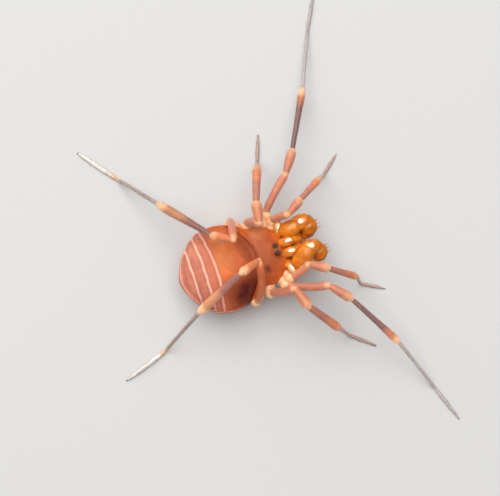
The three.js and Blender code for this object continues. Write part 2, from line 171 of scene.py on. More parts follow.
# Radius along each segment by share of its length
SEGMENTS = {
    "femur": {0: 0.15, 0.06: 0.18, 0.14: 0.195, 0.5: 0.21, 0.84: 0.225, 0.95: 0.215, 1: 0.165},
    "patella": {0: 0.14, 0.1: 0.175, 0.3: 0.215, 0.6: 0.252, 0.86: 0.265, 0.96: 0.235, 1: 0.17},
    "tibia_1": {0: 0.12, 0.06: 0.155, 0.3: 0.175, 0.55: 0.185, 0.84: 0.205, 0.95: 0.19, 1: 0.13},
    "tibia_2": {0: 0.1, 0.05: 0.13, 0.3: 0.145, 0.6: 0.165, 0.86: 0.205, 0.95: 0.19, 1: 0.13},
    "tibia_3": {0: 0.12, 0.06: 0.165, 0.3: 0.185, 0.55: 0.2, 0.84: 0.22, 0.95: 0.205, 1: 0.14},
    "tibia_4": {0: 0.1, 0.05: 0.13, 0.3: 0.165, 0.55: 0.205, 0.8: 0.23, 0.93: 0.205, 1: 0.13},
    "metatarsus": {0: 0.085, 0.06: 0.1, 0.5: 0.085, 0.94: 0.072, 1: 0.065},
    "tarsus": {0: 0.055, 0.1: 0.075, 0.45: 0.085, 0.8: 0.065, 1: 0.035},
    "tarsus_4": {0: 0.07, 0.1: 0.1, 0.5: 0.112, 0.85: 0.085, 1: 0.045},
}
SEGMENT_ORDER = ["trochanter", "femur", "patella", "tibia", "metatarsus", "tarsus"]
# Radii of the bulb at each hip
TROCHANTER = (0.27, 0.27, 0.25)
# Leg bases: radius along them, then where their roots lie (shares of the hip's place, how far further back
# and how high) and how far their ends lie under the hips and stop short of them
COXA_RADII = [(0, 0.22), (0.3, 0.28), (0.7, 0.34), (0.93, 0.33), (1, 0.26)]
COXA = {"out": 0.2, "along": 0.3, "behind": 0.3, "height": 1.12, "drop": 0.02, "short": 0.16}
# Plates that close the belly between the leg bases: middle and radii
BELLY_PLATES = [((0, 1.42, 0.86), (0.36, 0.46, 0.12)), ((0, 0.32, 1.08), (0.2, 0.34, 0.2))]
# Painted shade: share of dark brown in the thighs that are painted darker than their pair's
SHADE_PAINTED_THIGHS = {("right", 4): 0.85}
# Painted shade: gain on the colours of shins that are painted darker than their pair's
SHIN_SHADE_GAINS = {("left", 2): 0.72, ("left", 4): 0.62, ("right", 1): 0.8, ("right", 3): 0.78}
# Factor on the thickness of segments that are slimmer than their pair's girth
SLIM = {("femur", 4): 0.82, ("patella", 4): 0.84}
# How far the bulb at a hip lies outward, ahead and above it, where it isn't shifted as usual
BULB_SHIFTS = {
    ("left", 2): (0.08, 0.16, 0.06),
    ("left", 3): (-0.2, -0.1, 0.0),
    ("right", 1): (-0.02, -0.04, 0.14),
    ("right", 3): (0.06, 0.04, 0.04),
}
USUAL_BULB_SHIFT = (-0.06, 0.0, 0.04)
# Angles of the rings in a limb's domed ends
DOME_ANGLES = (0.12, 0.5, 0.9, 1.25)
# Upward part of a direction past which a limb's rings are squared by the axis across the body
STEEP = 0.93
# Radius along a spine, both as shares: of its length and of its foot's radius
SPINE_PROFILE = [(0, 1), (0.22, 0.72), (0.34, 0.42), (0.7, 0.26), (1, 0.06)]
# Fine hairs: radius at the root, how many stand on each mm of a leg and of a foot, how far they stand up,
# and the side of a hair's patch in the bake map
HAIR = {"radius": 0.008, "per_mm": 42, "per_mm_foot": 70, "rise": 0.6, "patch": 0.003}
# How many joints the tarsi of each pair show, and how deep they cut
TARSUS_CUT = 0.18
TARSUS_JOINTS = {1: 3, 2: 8, 3: 4, 4: 4}
# Leg claws: length, how far each of two stands aside, height of the point, and radius along them
CLAW = {"length": 0.15, "spread": 0.049, "height": 0.015, "radii": [(0, 0.024), (0.5, 0.016), (1, 0.004)]}

# Mouthparts, close to their solids: outward, ahead and height of each joint, and shares of the teeth
CHELICERA = {
    "root": (0.27, 0.25, 1.95),
    "bulla": (0.27, 0.84, 2.1),
    "wrist": (0.27, 1.02, 2.0),
    "hand": (0.29, 1.34, 1.5),
    "fingers": ((0.3, 1.42, 1.12), (0.16, 1.4, 1.12)),
    "teeth": (0.4, 0.6, 0.8),
}
# Lobes of the mouthparts: outward, ahead and height, radii, and turn in degrees
LOBES = {
    "lip": ((0, 0.6, 1.5), (0.42, 0.42, 0.2), 0),
    "lip_front": ((0, 1.42, 1.34), (0.22, 0.24, 0.18), 0),
    "side": ((0.5, 1.0, 1.45), (0.32, 0.64, 0.26), 18),
    "palp_hip": ((1.1, 0.5, 1.93), (0.34, 0.2, 0.2), -20),
}
# Radius along the parts: pairs of share of the length and radius, or share of the palp's own girth
MOUTH_RADII = {
    "bulla": [(0, 0.19), (0.4, 0.24), (0.75, 0.262), (1, 0.23)],
    "hand": [(0, 0.22), (0.35, 0.28), (0.7, 0.3), (1, 0.2)],
    "finger": [(0, 0.095), (0.5, 0.06), (1, 0.012)],
    "palp_coxa": [(0, 0.24), (0.6, 0.28), (1, 0.22)],
    "palp_tarsus": [(0, 0.22), (0.35, 0.26), (0.8, 0.2), (1, 0.1)],
    "palp_claw": [(0, 0.07), (0.5, 0.04), (1, 0.01)],
}
PALP_SWELLING = {
    "femur": [(0, 0.5), (0.12, 0.74), (0.4, 1), (0.72, 1), (0.93, 0.88), (1, 0.68)],
    "patella": [(0, 0.82), (0.3, 0.95), (0.8, 0.94), (1, 0.75)],
    "tibia": [(0, 0.72), (0.3, 1), (0.68, 1), (0.92, 0.8), (1, 0.6)],
}
# Rows of spines on the pedipalps: distance from the axis as a share of the girth, places along the segment,
# the side they point to (outward, ahead and up), length and foot radius
PALP_SPINES = {
    "femur": [
        (0.75, (0.2, 0.42, 0.62, 0.84), (0.3, 0, -1), 0.4, 0.055),
        (0.8, (0.45, 0.75), (-1, 0, 0.1), 0.3, 0.045),
    ],
    "tibia": [
        (0.88, (0.15, 0.5, 0.85), (0, -1, -0.5), 0.34, 0.055),
        (0.88, (0.2, 0.55, 0.9), (0, 1, -0.5), 0.34, 0.055),
    ],
    "tarsus": [
        (1, (0.3, 0.7), (0.5, 0.3, -1), 0.24, 0.045),
        (1, (0.3, 0.7), (-0.8, 0.2, 0.2), 0.24, 0.045),
    ],
}
TARSUS_GIRTH = 0.19
# How wet the mouthparts are by the value of "along": bullae and elbows shine, thighs and lobes are dull
WET_PLACES = [(0.0, 1.0), (0.03, 1.0), (0.05, 0.1), (0.185, 0.1), (0.195, 1.0), (0.22, 1.0), (0.28, 0.1)]
# Values of "along" that mark the pale hip joints of the pedipalps and the dull lobes
PALE_MARK = -0.1
DULL_MARK = 0.1
# The left pedipalp's end is folded inward, the right one's outward
PALPS = {
    "left": {
        "coxa": (0.62, 0.2, 1.62),
        "trochanter": (1.06, 0.5, 1.85),
        "elbow": (1.0, 1.42, 2.13),
        "wrist": (0.92, 1.98, 2.06),
        "tibia_end": (0.4, 1.94, 1.62),
        "tarsus_end": (0.32, 1.5, 1.42),
        "claw_tip": (0.36, 1.36, 1.14),
        "femur_bow": (-0.2, 0, 0.08),
        "femur_girth": 0.42,
        "tibia_girth": 0.43,
    },
    "right": {
        "coxa": (0.62, 0.2, 1.62),
        "trochanter": (1.05, 0.55, 1.85),
        "elbow": (0.36, 1.66, 2.28),
        "wrist": (0.46, 2.06, 2.04),
        "tibia_end": (0.95, 2.1, 1.62),
        "tarsus_end": (0.84, 1.7, 1.42),
        "claw_tip": (0.72, 1.46, 1.3),
        "femur_bow": (0.06, 0.06, 0.08),
        "femur_girth": 0.42,
        "tibia_girth": 0.39,
    },
}

# Skins: roughness and how far it varies, strength of the grain, light through the skin, gloss and bloom
FINISHES = {
    "trunk": {"roughness": 0.5, "spread": 0.06, "bump": 0.4, "flesh": 0.15, "coat": 0.03},
    "coxa": {"roughness": 0.36, "spread": 0.06, "bump": 0.3, "flesh": 0.25, "coat": 0.2, "bloom": 0.2},
    "leg": {"roughness": 0.42, "spread": 0.06, "bump": 0.55, "flesh": 0.25, "coat": 0.08},
    "amber": {"roughness": 0.32, "spread": 0.05, "bump": 0.1, "flesh": 0.7, "coat": 1.0},
}
# Height of the grain, and how deep light goes into a skin
GRAIN_DEPTH = 0.01
FLESH_DEPTH = 0.12
# Dark and light greys in the shins and feet
SMOKE = (0.1, 0.07, 0.08)
ASH = (0.5, 0.5, 0.54)

# Lamps: metres to the right, up the picture and above the floor, side of the lamp, and power
LAMPS = {
    "key": (-0.02, 0.05, 0.18, 0.19, 0.45),
    "fill": (-0.13, 0.13, 0.11, 0.16, 0.11),
    "window": (0.0, 0.045, 0.19, 0.2, 2.6),
}
LAMP_TARGET = (0, 0.001, 0.001)
SURROUNDINGS = {"Color": (0.92, 0.95, 1.0, 1), "Strength": 0.56}


def linear(red, green, blue):
    """A colour given as it looks on screen, 0 to 255, in the linear values that shaders take."""
    shares = [value / 255 for value in (red, green, blue)]
    return tuple(s / 12.92 if s <= 0.04045 else ((s + 0.055) / 1.055) ** 2.4 for s in shares)


def length_property(name, description, default, low, high):
    """A length that is given in millimetres and kept in metres."""
    limits = {"default": default * MM, "min": low * MM, "max": high * MM}
    units = {"subtype": "DISTANCE", "unit": "LENGTH", "precision": 6}
    return bpy.props.FloatProperty(name=name, description=description, **limits, **units)


class HarvestmanSizes(bpy.types.PropertyGroup):
    """Sizes that can be changed before the pieces are built."""

    girth: bpy.props.FloatProperty(
        name="Leg girth",
        description="Factor on the thickness of every leg segment",
        default=1.0,
        min=0.5,
        max=1.5,
    )
    furrow_depth: length_property("Furrow depth", "Depth of the furrows between the plates", 0.035, 0, 0.1)
    hair_length: length_property("Hair length", "Length of the fine hairs on the legs", 0.1, 0.02, 0.4)
    seed: bpy.props.IntProperty(
        name="Seed",
        description="Start of the random scatter of the hairs",
        default=11,
        min=0,
    )


def colour_property(name, description, default):
    """A colour picker with its default given as it looks on screen."""
    return bpy.props.FloatVectorProperty(
        name=name, description=description, default=linear(*default), subtype="COLOR", size=3, min=0, max=1
    )


class HarvestmanColours(bpy.types.PropertyGroup):
    """Colours of the animal's surfaces."""

    carapace: colour_property("Carapace", "Middle of the fore body", (168, 81, 40))
    carapace_edge: colour_property("Carapace edge", "Front and side margin of the fore body", (198, 94, 36))
    back: colour_property("Back", "Front plate of the hind body", (194, 92, 42))
    back_end: colour_property("Back end", "Plates behind the first pale line", (194, 117, 93))
    # The dark pigment is real colour in blotches and lines, and also serves as painted shade on the right
    # flank, the right side spot of the fore body, the third plate and the right hind thigh
    pigment_and_shade: colour_property("Dark pigment", "Blotches behind the waist and on the flanks", (78, 16, 10))
    pale_line: colour_property("Pale lines", "Lines between the plates", (238, 174, 152))
    mound: colour_property("Eye mound", "Between the eyes", (96, 74, 44))
    salmon: colour_property("Thighs", "Femora and knees", (196, 118, 88))
    cream: colour_property("Joints", "Hip joints and the pale ends of the hind shins", (251, 192, 140))
    mauve: colour_property("Shins", "Near part of the longer tibiae", (150, 100, 92))
    orange: colour_property("Shin ends", "Far part of the tibiae", (204, 122, 80))
    slate: colour_property("Feet", "Metatarsi", (160, 144, 135))
    frost: colour_property("Hind tips", "Tarsi of the last pair", (214, 208, 200))
    amber: colour_property("Mouthparts", "Chelicerae and pedipalps", (206, 117, 24))


# Shader nodes


def feed(tree, node, inputs):
    """Sets a node's inputs to values, or links them to other nodes' outputs."""
    for name, value in inputs.items():
        if isinstance(value, bpy.types.NodeSocket):
            tree.links.new(value, node.inputs[name])
        else:
            node.inputs[name].default_value = value


def put(tree, kind, inputs=None, **settings):
    """Adds one shader node with its settings and inputs."""
    made = tree.nodes.new(kind)
    for name, value in settings.items():
        setattr(made, name, value)
    feed(tree, made, inputs or {})
    return made


def calc(tree, operation, *values):
    """One Math node's result."""
    return put(tree, "ShaderNodeMath", dict(enumerate(values)), operation=operation).outputs[0]


def times(tree, first, *others):
    """The product of several values."""
    for other in others:
        first = calc(tree, "MULTIPLY", first, other)
    return first


def blend(tree, factor, first, second):
    """One colour mix's result."""
    pair = [value if isinstance(value, bpy.types.NodeSocket) else (*value, 1) for value in (first, second)]
    return put(tree, "ShaderNodeMix", {0: factor, 6: pair[0], 7: pair[1]}, data_type="RGBA").outputs[2]


def fade(tree, value, start, end, low=0.0, high=1.0):
    """A smooth step: low before start, high after end."""
    given = {"Value": value, "From Min": start, "From Max": end, "To Min": low, "To Max": high}
    return put(tree, "ShaderNodeMapRange", given, interpolation_type="SMOOTHSTEP").outputs["Result"]


def between(tree, value, rise, fall, strength=1.0):
    """A soft band that starts between the two places of rise and ends between the two of fall."""
    return times(tree, fade(tree, value, *rise), fade(tree, value, *fall, strength, 0.0))


def ramp(tree, factor, stops, mode="EASE"):
    """A colour ramp whose stops are pairs of place and colour or grey value."""
    made = put(tree, "ShaderNodeValToRGB", {"Fac": factor})
    made.color_ramp.interpolation = mode
    elements = made.color_ramp.elements
    while len(elements) < len(stops):
        elements.new(0.5)
    for element, (place, _) in zip(elements, stops):
        element.position = place
    for element, (_, value) in zip(elements, stops):
        element.color = (value, value, value, 1) if isinstance(value, (int, float)) else (*value, 1)
    return made.outputs["Color"]


def noise(tree, vector, scale, detail=2.0, roughness=0.5):
    """The value of a soft noise."""
    given = {"Vector": vector, "Scale": scale, "Detail": detail, "Roughness": roughness}
    return put(tree, "ShaderNodeTexNoise", given).outputs["Fac"]


def parts_of(tree, vector):
    """A place's three parts: across, along and height."""
    return put(tree, "ShaderNodeSeparateXYZ", {"Vector": vector}).outputs[:]


def place_on_limb(tree):
    """The layer that counts along a limb."""
    return put(tree, "ShaderNodeAttribute", attribute_name="along").outputs["Fac"]


def millimetres(tree):
    """Object coordinates turned into millimetres from the animal's own zero."""
    place = put(tree, "ShaderNodeTexCoord").outputs["Object"]
    inputs = {"Vector": place, "Location": -ORIGIN / MM, "Scale": (1 / MM, 1 / MM, 1 / MM)}
    return put(tree, "ShaderNodeMapping", inputs).outputs["Vector"]


def new_group(name, inputs, outputs):
    """A new shader node group with its input and output nodes; inputs are default values by name."""
    tree = bpy.data.node_groups.new(name, "ShaderNodeTree")
    for socket, default in inputs.items():
        kind = "NodeSocketFloat" if isinstance(default, float) else "NodeSocketVector"
        tree.interface.new_socket(socket, in_out="INPUT", socket_type=kind).default_value = default
    for socket in outputs:
        tree.interface.new_socket(socket, in_out="OUTPUT", socket_type="NodeSocketFloat")
    return tree, put(tree, "NodeGroupInput"), put(tree, "NodeGroupOutput")


def grain_group(name):
    """Fine granules with soft mottling, as on the hard skin of the animal."""
    inputs = {"Vector": (0, 0, 0), "Granules": 22.0, "Size": 1.0}
    tree, given, result = new_group(name, inputs, ["Height", "Mottle", "Wet"])
    vector = given.outputs["Vector"]
    granules = {"Vector": vector, "Scale": given.outputs["Granules"], "Randomness": 0.9}
    cells = put(tree, "ShaderNodeTexVoronoi", granules)
    bead = fade(tree, cells.outputs["Distance"], 0.1, 0.55, 1.0, 0.0)
    soft, broad = noise(tree, vector, 3.2, 4.0, 0.6), noise(tree, vector, 1.1)
    height = calc(tree, "MULTIPLY_ADD", soft, 0.5, bead)
    mottle = calc(tree, "MULTIPLY_ADD", soft, 0.6, times(tree, broad, 0.4))
    mottle = calc(tree, "MULTIPLY_ADD", calc(tree, "SUBTRACT", bead, 0.5), 0.1, mottle)
    height = times(tree, height, given.outputs["Size"])
    feed(tree, result, {"Height": height, "Mottle": mottle, "Wet": broad})
    return tree


def stripe_group(name):
    """A soft band across the back, 1 on a line that bends with the width."""
    inputs = {"Vector": (0, 0, 0), "At": 3.0, "Lag": 0.0, "Half width": 0.06, "Softness": 0.03}
    tree, given, result = new_group(name, inputs, ["Mask"])
    sockets = given.outputs
    across, along, _ = parts_of(tree, sockets["Vector"])
    bent = calc(tree, "SUBTRACT", along, times(tree, across, across, sockets["Lag"]))
    away = calc(tree, "ABSOLUTE", calc(tree, "SUBTRACT", bent, sockets["At"]))
    near = calc(tree, "SUBTRACT", sockets["Half width"], sockets["Softness"])
    far = calc(tree, "ADD", sockets["Half width"], sockets["Softness"])
    feed(tree, result, {"Mask": fade(tree, away, near, far, 1.0, 0.0)})
    return tree


def oval_group(name):
    """Distance from the middle of an oval seen from above, 1 on its outline."""
    inputs = {"Vector": (0, 0, 0), "Middle": (0, 0, 0), "Reach": (1, 1, 1)}
    tree, given, result = new_group(name, inputs, ["Distance"])
    vector = given.outputs["Vector"]
    for operation, socket in (("SUBTRACT", "Middle"), ("DIVIDE", "Reach")):
        pair = {0: vector, 1: given.outputs[socket]}
        vector = put(tree, "ShaderNodeVectorMath", pair, operation=operation).outputs["Vector"]
    across, along, _ = parts_of(tree, vector)
    squares = calc(tree, "ADD", times(tree, across, across), times(tree, along, along))
    feed(tree, result, {"Distance": calc(tree, "SQRT", squares)})
    return tree


def use_group(tree, name, build, inputs):
    """Outputs of a shader node group that is built on its first use."""
    group = bpy.data.node_groups.get(name) or build(name)
    return put(tree, "ShaderNodeGroup", inputs, node_tree=group).outputs


def grain(tree, vector, granules, size=1.0):
    """The skin's grain placed in a material."""
    inputs = {"Vector": vector, "Granules": granules, "Size": size}
    return use_group(tree, "Cuticle grain", grain_group, inputs)


def stripe(tree, vector, at, lag, half_width, softness):
    """One soft band across the back."""
    inputs = {"Vector": vector, "At": at, "Lag": lag, "Half width": half_width, "Softness": softness}
    return use_group(tree, "Back stripe", stripe_group, inputs)["Mask"]


def oval_distance(tree, vector, middle, reach):
    """Distance from an oval's middle, whose place and reach are given across and along the body."""
    inputs = {"Vector": vector, "Middle": (*middle, 0), "Reach": (*reach, 1)}
    return use_group(tree, "Oval distance", oval_group, inputs)["Distance"]


def marking(tree, vector, name, side=1):
    """Distance from the middle of one of the trunk's markings, 1 on its outline."""
    (outward, behind), reach = MARKINGS[name]
    return oval_distance(tree, vector, (side * outward, behind), reach)


# Finishes


def mixed(first, second, share):
    """A colour between two others."""
    return tuple((1 - share) * a + share * b for a, b in zip(first, second))


def scaled(colour, *gains):
    """A colour multiplied by one gain, or by one for each of its parts, with no part past 1."""
    return tuple(min(1.0, part * gain) for part, gain in zip(colour, gains * 3))


def patch(tree, colour, over, distance, core, edge, strength):
    """Lays a second colour over the first, strongest within the core and gone past the edge."""
    return blend(tree, fade(tree, distance, core, edge, strength, 0.0), colour, over)


def new_material(name):
    """An empty node material and its Principled shader."""
    material = bpy.data.materials.new(name)
    material.use_nodes = True
    tree = material.node_tree
    tree.nodes.clear()
    shader = put(tree, "ShaderNodeBsdfPrincipled")
    put(tree, "ShaderNodeOutputMaterial", {"Surface": shader.outputs["BSDF"]})
    return material, tree, shader


def material_once(name, make, *given):
    """A material by its name, made on first use."""
    return bpy.data.materials.get(name) or make(*given)


def finish_cuticle(tree, shader, colour, texture, roughness, spread, bump, flesh, coat, bloom=0.0):
    """Mottles a colour and adds roughness, bump, light through the skin, gloss and a pale bloom."""
    shade = fade(tree, texture["Mottle"], 0.35, 0.65, 0.86, 1.12)
    mottled = put(tree, "ShaderNodeHueSaturation", {"Color": colour, "Value": shade})
    bumps = {"Height": texture["Height"], "Strength": bump, "Distance": GRAIN_DEPTH * MM}
    looks = {
        "Base Color": mottled.outputs["Color"],
        "Roughness": fade(tree, texture["Wet"], 0.3, 0.7, roughness - spread, roughness + spread),
        "Normal": put(tree, "ShaderNodeBump", bumps).outputs["Normal"],
        "Subsurface Weight": flesh,
        "Subsurface Radius": (1.0, 0.35, 0.15),
        "Subsurface Scale": FLESH_DEPTH * MM,
        "Coat Weight": coat,
        "Coat Roughness": 0.1,
        "Sheen Weight": bloom,
        "Sheen Roughness": 0.35,
        "Sheen Tint": (1.0, 0.82, 0.74, 1),
    }
    feed(tree, shader, looks)


def fore_colours(tree, vector, colours):
    """Brown fore body: orange margin, dark line inside it, painted light on the left side, side spots with
    painted shade on the right one, and eye mound.
    """
    reach = (FORE["half_width"], FORE["widest"] - FORE["front"])
    outline = oval_distance(tree, vector, (0, FORE["widest"]), reach)
    colour = blend(tree, fade(tree, outline, 0.6, 0.86), colours.carapace, colours.carapace_edge)
    line = between(tree, outline, (0.72, 0.77), (0.78, 0.83), 0.1)
    colour = blend(tree, line, colour, colours.pigment_and_shade)
    front = stripe(tree, vector, -0.58, 0.33, 0.03, 0.03)
    colour = blend(tree, times(tree, front, 0.3), colour, colours.pigment_and_shade)
    # Side spots are dark pigment; the right one is painted far stronger than the left as painted shade
    for side, strength in ((1, 0.05), (-1, 0.65)):
        spot = marking(tree, vector, "side_spot_and_shade", side)
        colour = patch(tree, colour, colours.pigment_and_shade, spot, 0.1, 1.0, strength)
    # Painted light: a paler peach patch on the left side of the fore body, where the light falls
    painted_light_peach = mixed(colours.carapace_edge, colours.cream, 0.3)
    colour = patch(tree, colour, painted_light_peach, marking(tree, vector, "painted_light_side"), 0.1, 1.0, 0.75)
    colour = patch(tree, colour, colours.mound, marking(tree, vector, "mound"), 0.55, 1.1, 0.5)
    for side in SIDES.values():
        socket = marking(tree, vector, "eye_socket", side)
        colour = patch(tree, colour, colours.pigment_and_shade, socket, 0.75, 1.2, 0.6)
    return colour


def hind_colours(tree, vector, colours):
    """Orange front plate with a painted highlight, mauve plates behind it, dark blotches behind the waist,
    flanks darkened by pigment and painted shade, and painted shade on the third plate.
    """
    across, along, _ = parts_of(tree, vector)
    streaky = fade(tree, noise(tree, vector, 2.2, 4.0), 0.3, 0.68, 0.8, 1.0)
    colour = blend(tree, fade(tree, along, 2.7, 3.9), colours.back, colours.back_end)
    # Painted highlight: a paler, yellower patch on the front plate, where light falls on its dome
    painted_highlight_tone = scaled(colours.back, 1.2, 1.75, 2.1)
    colour = patch(tree, colour, painted_highlight_tone, marking(tree, vector, "front_plate_highlight"), 0.1, 1.0, 0.8)
    to_sides = fade(tree, calc(tree, "ABSOLUTE", across), 0.9, 1.5, 1.0, 0.2)
    band = stripe(tree, vector, 1.3, WAIST["lag"], 0.36, 0.34)
    colour = blend(tree, times(tree, band, to_sides, streaky, 0.58), colour, colours.pigment_and_shade)
    # The right flank is painted far darker than the left: partly pigment, partly painted shade
    for side, strength in ((1, 0.02), (-1, 1.0)):
        flank_pigment_and_shade = fade(tree, marking(tree, vector, "flank_pigment_and_shade", side), 0.25, 1.1, strength, 0.0)
        colour = blend(tree, times(tree, flank_pigment_and_shade, streaky), colour, colours.pigment_and_shade)
    # Painted shade: the middle of the plate between the second and third pale lines is darkened
    third = marking(tree, vector, "third_plate_shade")
    return patch(tree, colour, colours.pigment_and_shade, third, 0.4, 1.15, 0.16)


def back_lines(tree, vector, colours, colour):
    """Draws the pale wavering lines between the back plates, each in a faint shadow."""
    across, along, height = parts_of(tree, vector)
    waver = calc(tree, "MULTIPLY_ADD", noise(tree, vector, 1.4), 0.16, -0.08)
    moved = {"X": across, "Y": calc(tree, "ADD", along, waver), "Z": height}
    wavering = put(tree, "ShaderNodeCombineXYZ", moved).outputs["Vector"]
    lines, shadows = 0.0, 0.0
    for at, lag in BACK_LINES:
        bend = lag / HIND["half_width"] ** 2
        lines = calc(tree, "MAXIMUM", lines, stripe(tree, wavering, at, bend, *LINE_WIDTH))
        shadows = calc(tree, "MAXIMUM", shadows, stripe(tree, wavering, at, bend, *LINE_SHADOW))
    above = fade(tree, height, RIM["height"], RIM["height"] + 0.06)
    colour = blend(tree, times(tree, shadows, above, 0.22), colour, colours.pigment_and_shade)
    return blend(tree, times(tree, lines, above, 0.9), colour, colours.pale_line)


def rim_colours(tree, vector, colours, colour):
    """Draws the pale ridge round the hind body and the dark groove above it, from behind the waist on."""
    _, along, height = parts_of(tree, vector)
    rim = RIM["height"]
    to_rear = fade(tree, along, 1.9, 3.0)
    groove = between(tree, height, (rim + 0.04, rim + 0.12), (rim + 0.16, rim + 0.3), to_rear)
    colour = blend(tree, times(tree, groove, 0.16), colour, colours.pigment_and_shade)
    ridge = between(tree, height, (rim - 0.06, rim - 0.02), (rim + 0.02, rim + 0.06), to_rear)
    return blend(tree, times(tree, ridge, 0.85), colour, colours.pale_line)


def trunk_material(colours):
    """Skin of the fore and hind body, with its plates, lines, rim and the furrows of the belly."""
    material, tree, shader = new_material("trunk_cuticle")
    vector = millimetres(tree)
    across, along, height = parts_of(tree, vector)
    bent = calc(tree, "SUBTRACT", along, times(tree, across, across, WAIST["lag"]))
    is_hind = fade(tree, bent, WAIST["at"] - 0.02, WAIST["at"] + 0.02)
    fore, hind = fore_colours(tree, vector, colours), hind_colours(tree, vector, colours)
    waist = stripe(tree, vector, WAIST["at"] + 0.02, WAIST["lag"], 0.05, 0.06)
    colour = blend(tree, times(tree, waist, 0.55), blend(tree, is_hind, fore, hind), colours.pigment_and_shade)
    underside = mixed(colours.salmon, colours.cream, 0.4)
    colour = blend(tree, fade(tree, height, 0.9, 1.35, 0.75, 0.0), colour, underside)
    colour = back_lines(tree, vector, colours, colour)
    colour = rim_colours(tree, vector, colours, colour)
    for at in BELLY_LINES:
        furrow = stripe(tree, vector, at, -BELLY_BEND / HIND["half_width"] ** 2, 0.02, 0.03)
        furrow = times(tree, furrow, fade(tree, height, 1.3, 1.6, 0.35, 0.0))
        colour = blend(tree, furrow, colour, colours.pigment_and_shade)
    finish_cuticle(tree, shader, colour, grain(tree, vector, 20.0), **FINISHES["trunk"])
    feed(tree, shader, {"Specular IOR Level": 0.18})
    return material


def leg_material(name, stops, bloom):
    """Skin coloured along the leg: each stop is a place counted in segments from the hip, and a colour."""
    material, tree, shader = new_material(name)
    reach = len(SEGMENT_ORDER)
    places = [(place / reach, value) for place, value in stops]
    colour = ramp(tree, calc(tree, "DIVIDE", place_on_limb(tree), reach), places, "LINEAR")
    texture = grain(tree, millimetres(tree), 22.0)
    finish_cuticle(tree, shader, colour, texture, bloom=bloom, **FINISHES["leg"])
    return material


def leg_stops(colours, pair, thigh_shade_share, shin_shade_gain):
    """Colours along a leg of this pair, with a share of dark brown in its thigh and a gain on its shin,
    both painted shade.
    """
    cream, salmon, orange, mauve = colours.cream, colours.salmon, colours.orange, colours.mauve
    # The hips of the second pair are plain cream: partly their own pale colour, partly a painted highlight
    hip = mixed(cream, salmon, 0.0 if pair == 2 else 0.15)
    # Dark brown that paints shade on a thigh
    brown = mixed(colours.carapace_edge, colours.pigment_and_shade, 0.12)
    thigh = mixed(mixed(salmon, cream, 0.14 if pair == 1 else 0.0), brown, thigh_shade_share)
    gains = (0.94, 0.8, 0.62) if pair == 4 else (0.9, 0.9, 0.9)
    patella = scaled(mixed(salmon, orange, 0.8 if pair > 2 else 0.3), *gains)
    knee = mixed(patella, cream, 0.45)
    patella_end = mixed(patella, cream, 0.65 if pair == 4 else 0.25)
    cuff = patella_end if pair == 4 else mixed(patella, cream, 0.6)

    dusky = mixed(mauve, orange, 0.4)
    near = {2: mixed(mauve, SMOKE, 0.45), 4: mixed(mauve, orange, 0.1)}.get(pair, dusky)
    middle = {1: mixed(dusky, orange, 0.3), 2: mixed(mauve, SMOKE, 0.3)}.get(pair, dusky)
    far = mixed(orange, cream, 0.25 if pair == 4 else 0.0)
    # Painted shade: the shin's colours are darkened by the gain
    near, middle, far = (scaled(tone, shin_shade_gain) for tone in (near, middle, far))
    tibia_end = cream if pair in (2, 4) else mixed(orange, cream, 0.3)
    tibia_end = scaled(tibia_end, (1 + shin_shade_gain) / 2)
    turn = {2: 3.8, 4: 3.56}.get(pair, 3.66)
    pale_from = 3.88 if pair == 4 else 3.93

    foot = ankle = mixed(colours.slate, salmon, 0.3)
    tip = mixed(colours.slate, salmon, 0.2)
    if pair == 2:
        foot = ankle = tip = mixed(colours.slate, ASH, 0.35)
    if pair == 4:
        foot, ankle, tip = mixed(colours.slate, SMOKE, 0.2), mixed(colours.slate, cream, 0.6), colours.frost
    return [
        (0.0, hip),
        (1.0, hip),
        (1.08, mixed(cream, salmon, 0.6)),
        (1.22, thigh),
        (1.91, thigh),
        (1.97, knee),
        (2.03, knee),
        (2.1, patella),
        (2.62, patella),
        (2.9, patella_end),
        (2.95, cuff),
        (3.0, cuff),
        (3.04, near),
        (3.28, near),
        (turn - 0.14, middle),
        (turn, far),
        (pale_from - 0.08, far),
        (pale_from, tibia_end),
        (3.97, tibia_end),
        (4.01, mixed(tibia_end, foot, 0.5)),
        (4.04, foot),
        (4.9, foot),
        (4.97, ankle),
        (5.06, ankle),
        (5.2, tip),
        (6.0, tip),
    ]


def coxa_material(colours):
    """Salmon leg bases that pale towards the underside and the hips."""
    material, tree, shader = new_material("coxa_cuticle")
    vector = millimetres(tree)
    _, _, height = parts_of(tree, vector)
    low, high = mixed(colours.salmon, colours.cream, 0.55), mixed(colours.salmon, colours.orange, 0.7)
    colour = blend(tree, fade(tree, height, 1.2, 1.8), low, high)
    colour = blend(tree, fade(tree, place_on_limb(tree), 0.72, 0.95, 0.0, 0.7), colour, colours.cream)
    finish_cuticle(tree, shader, colour, grain(tree, vector, 24.0, 0.9), **FINISHES["coxa"])
    return material


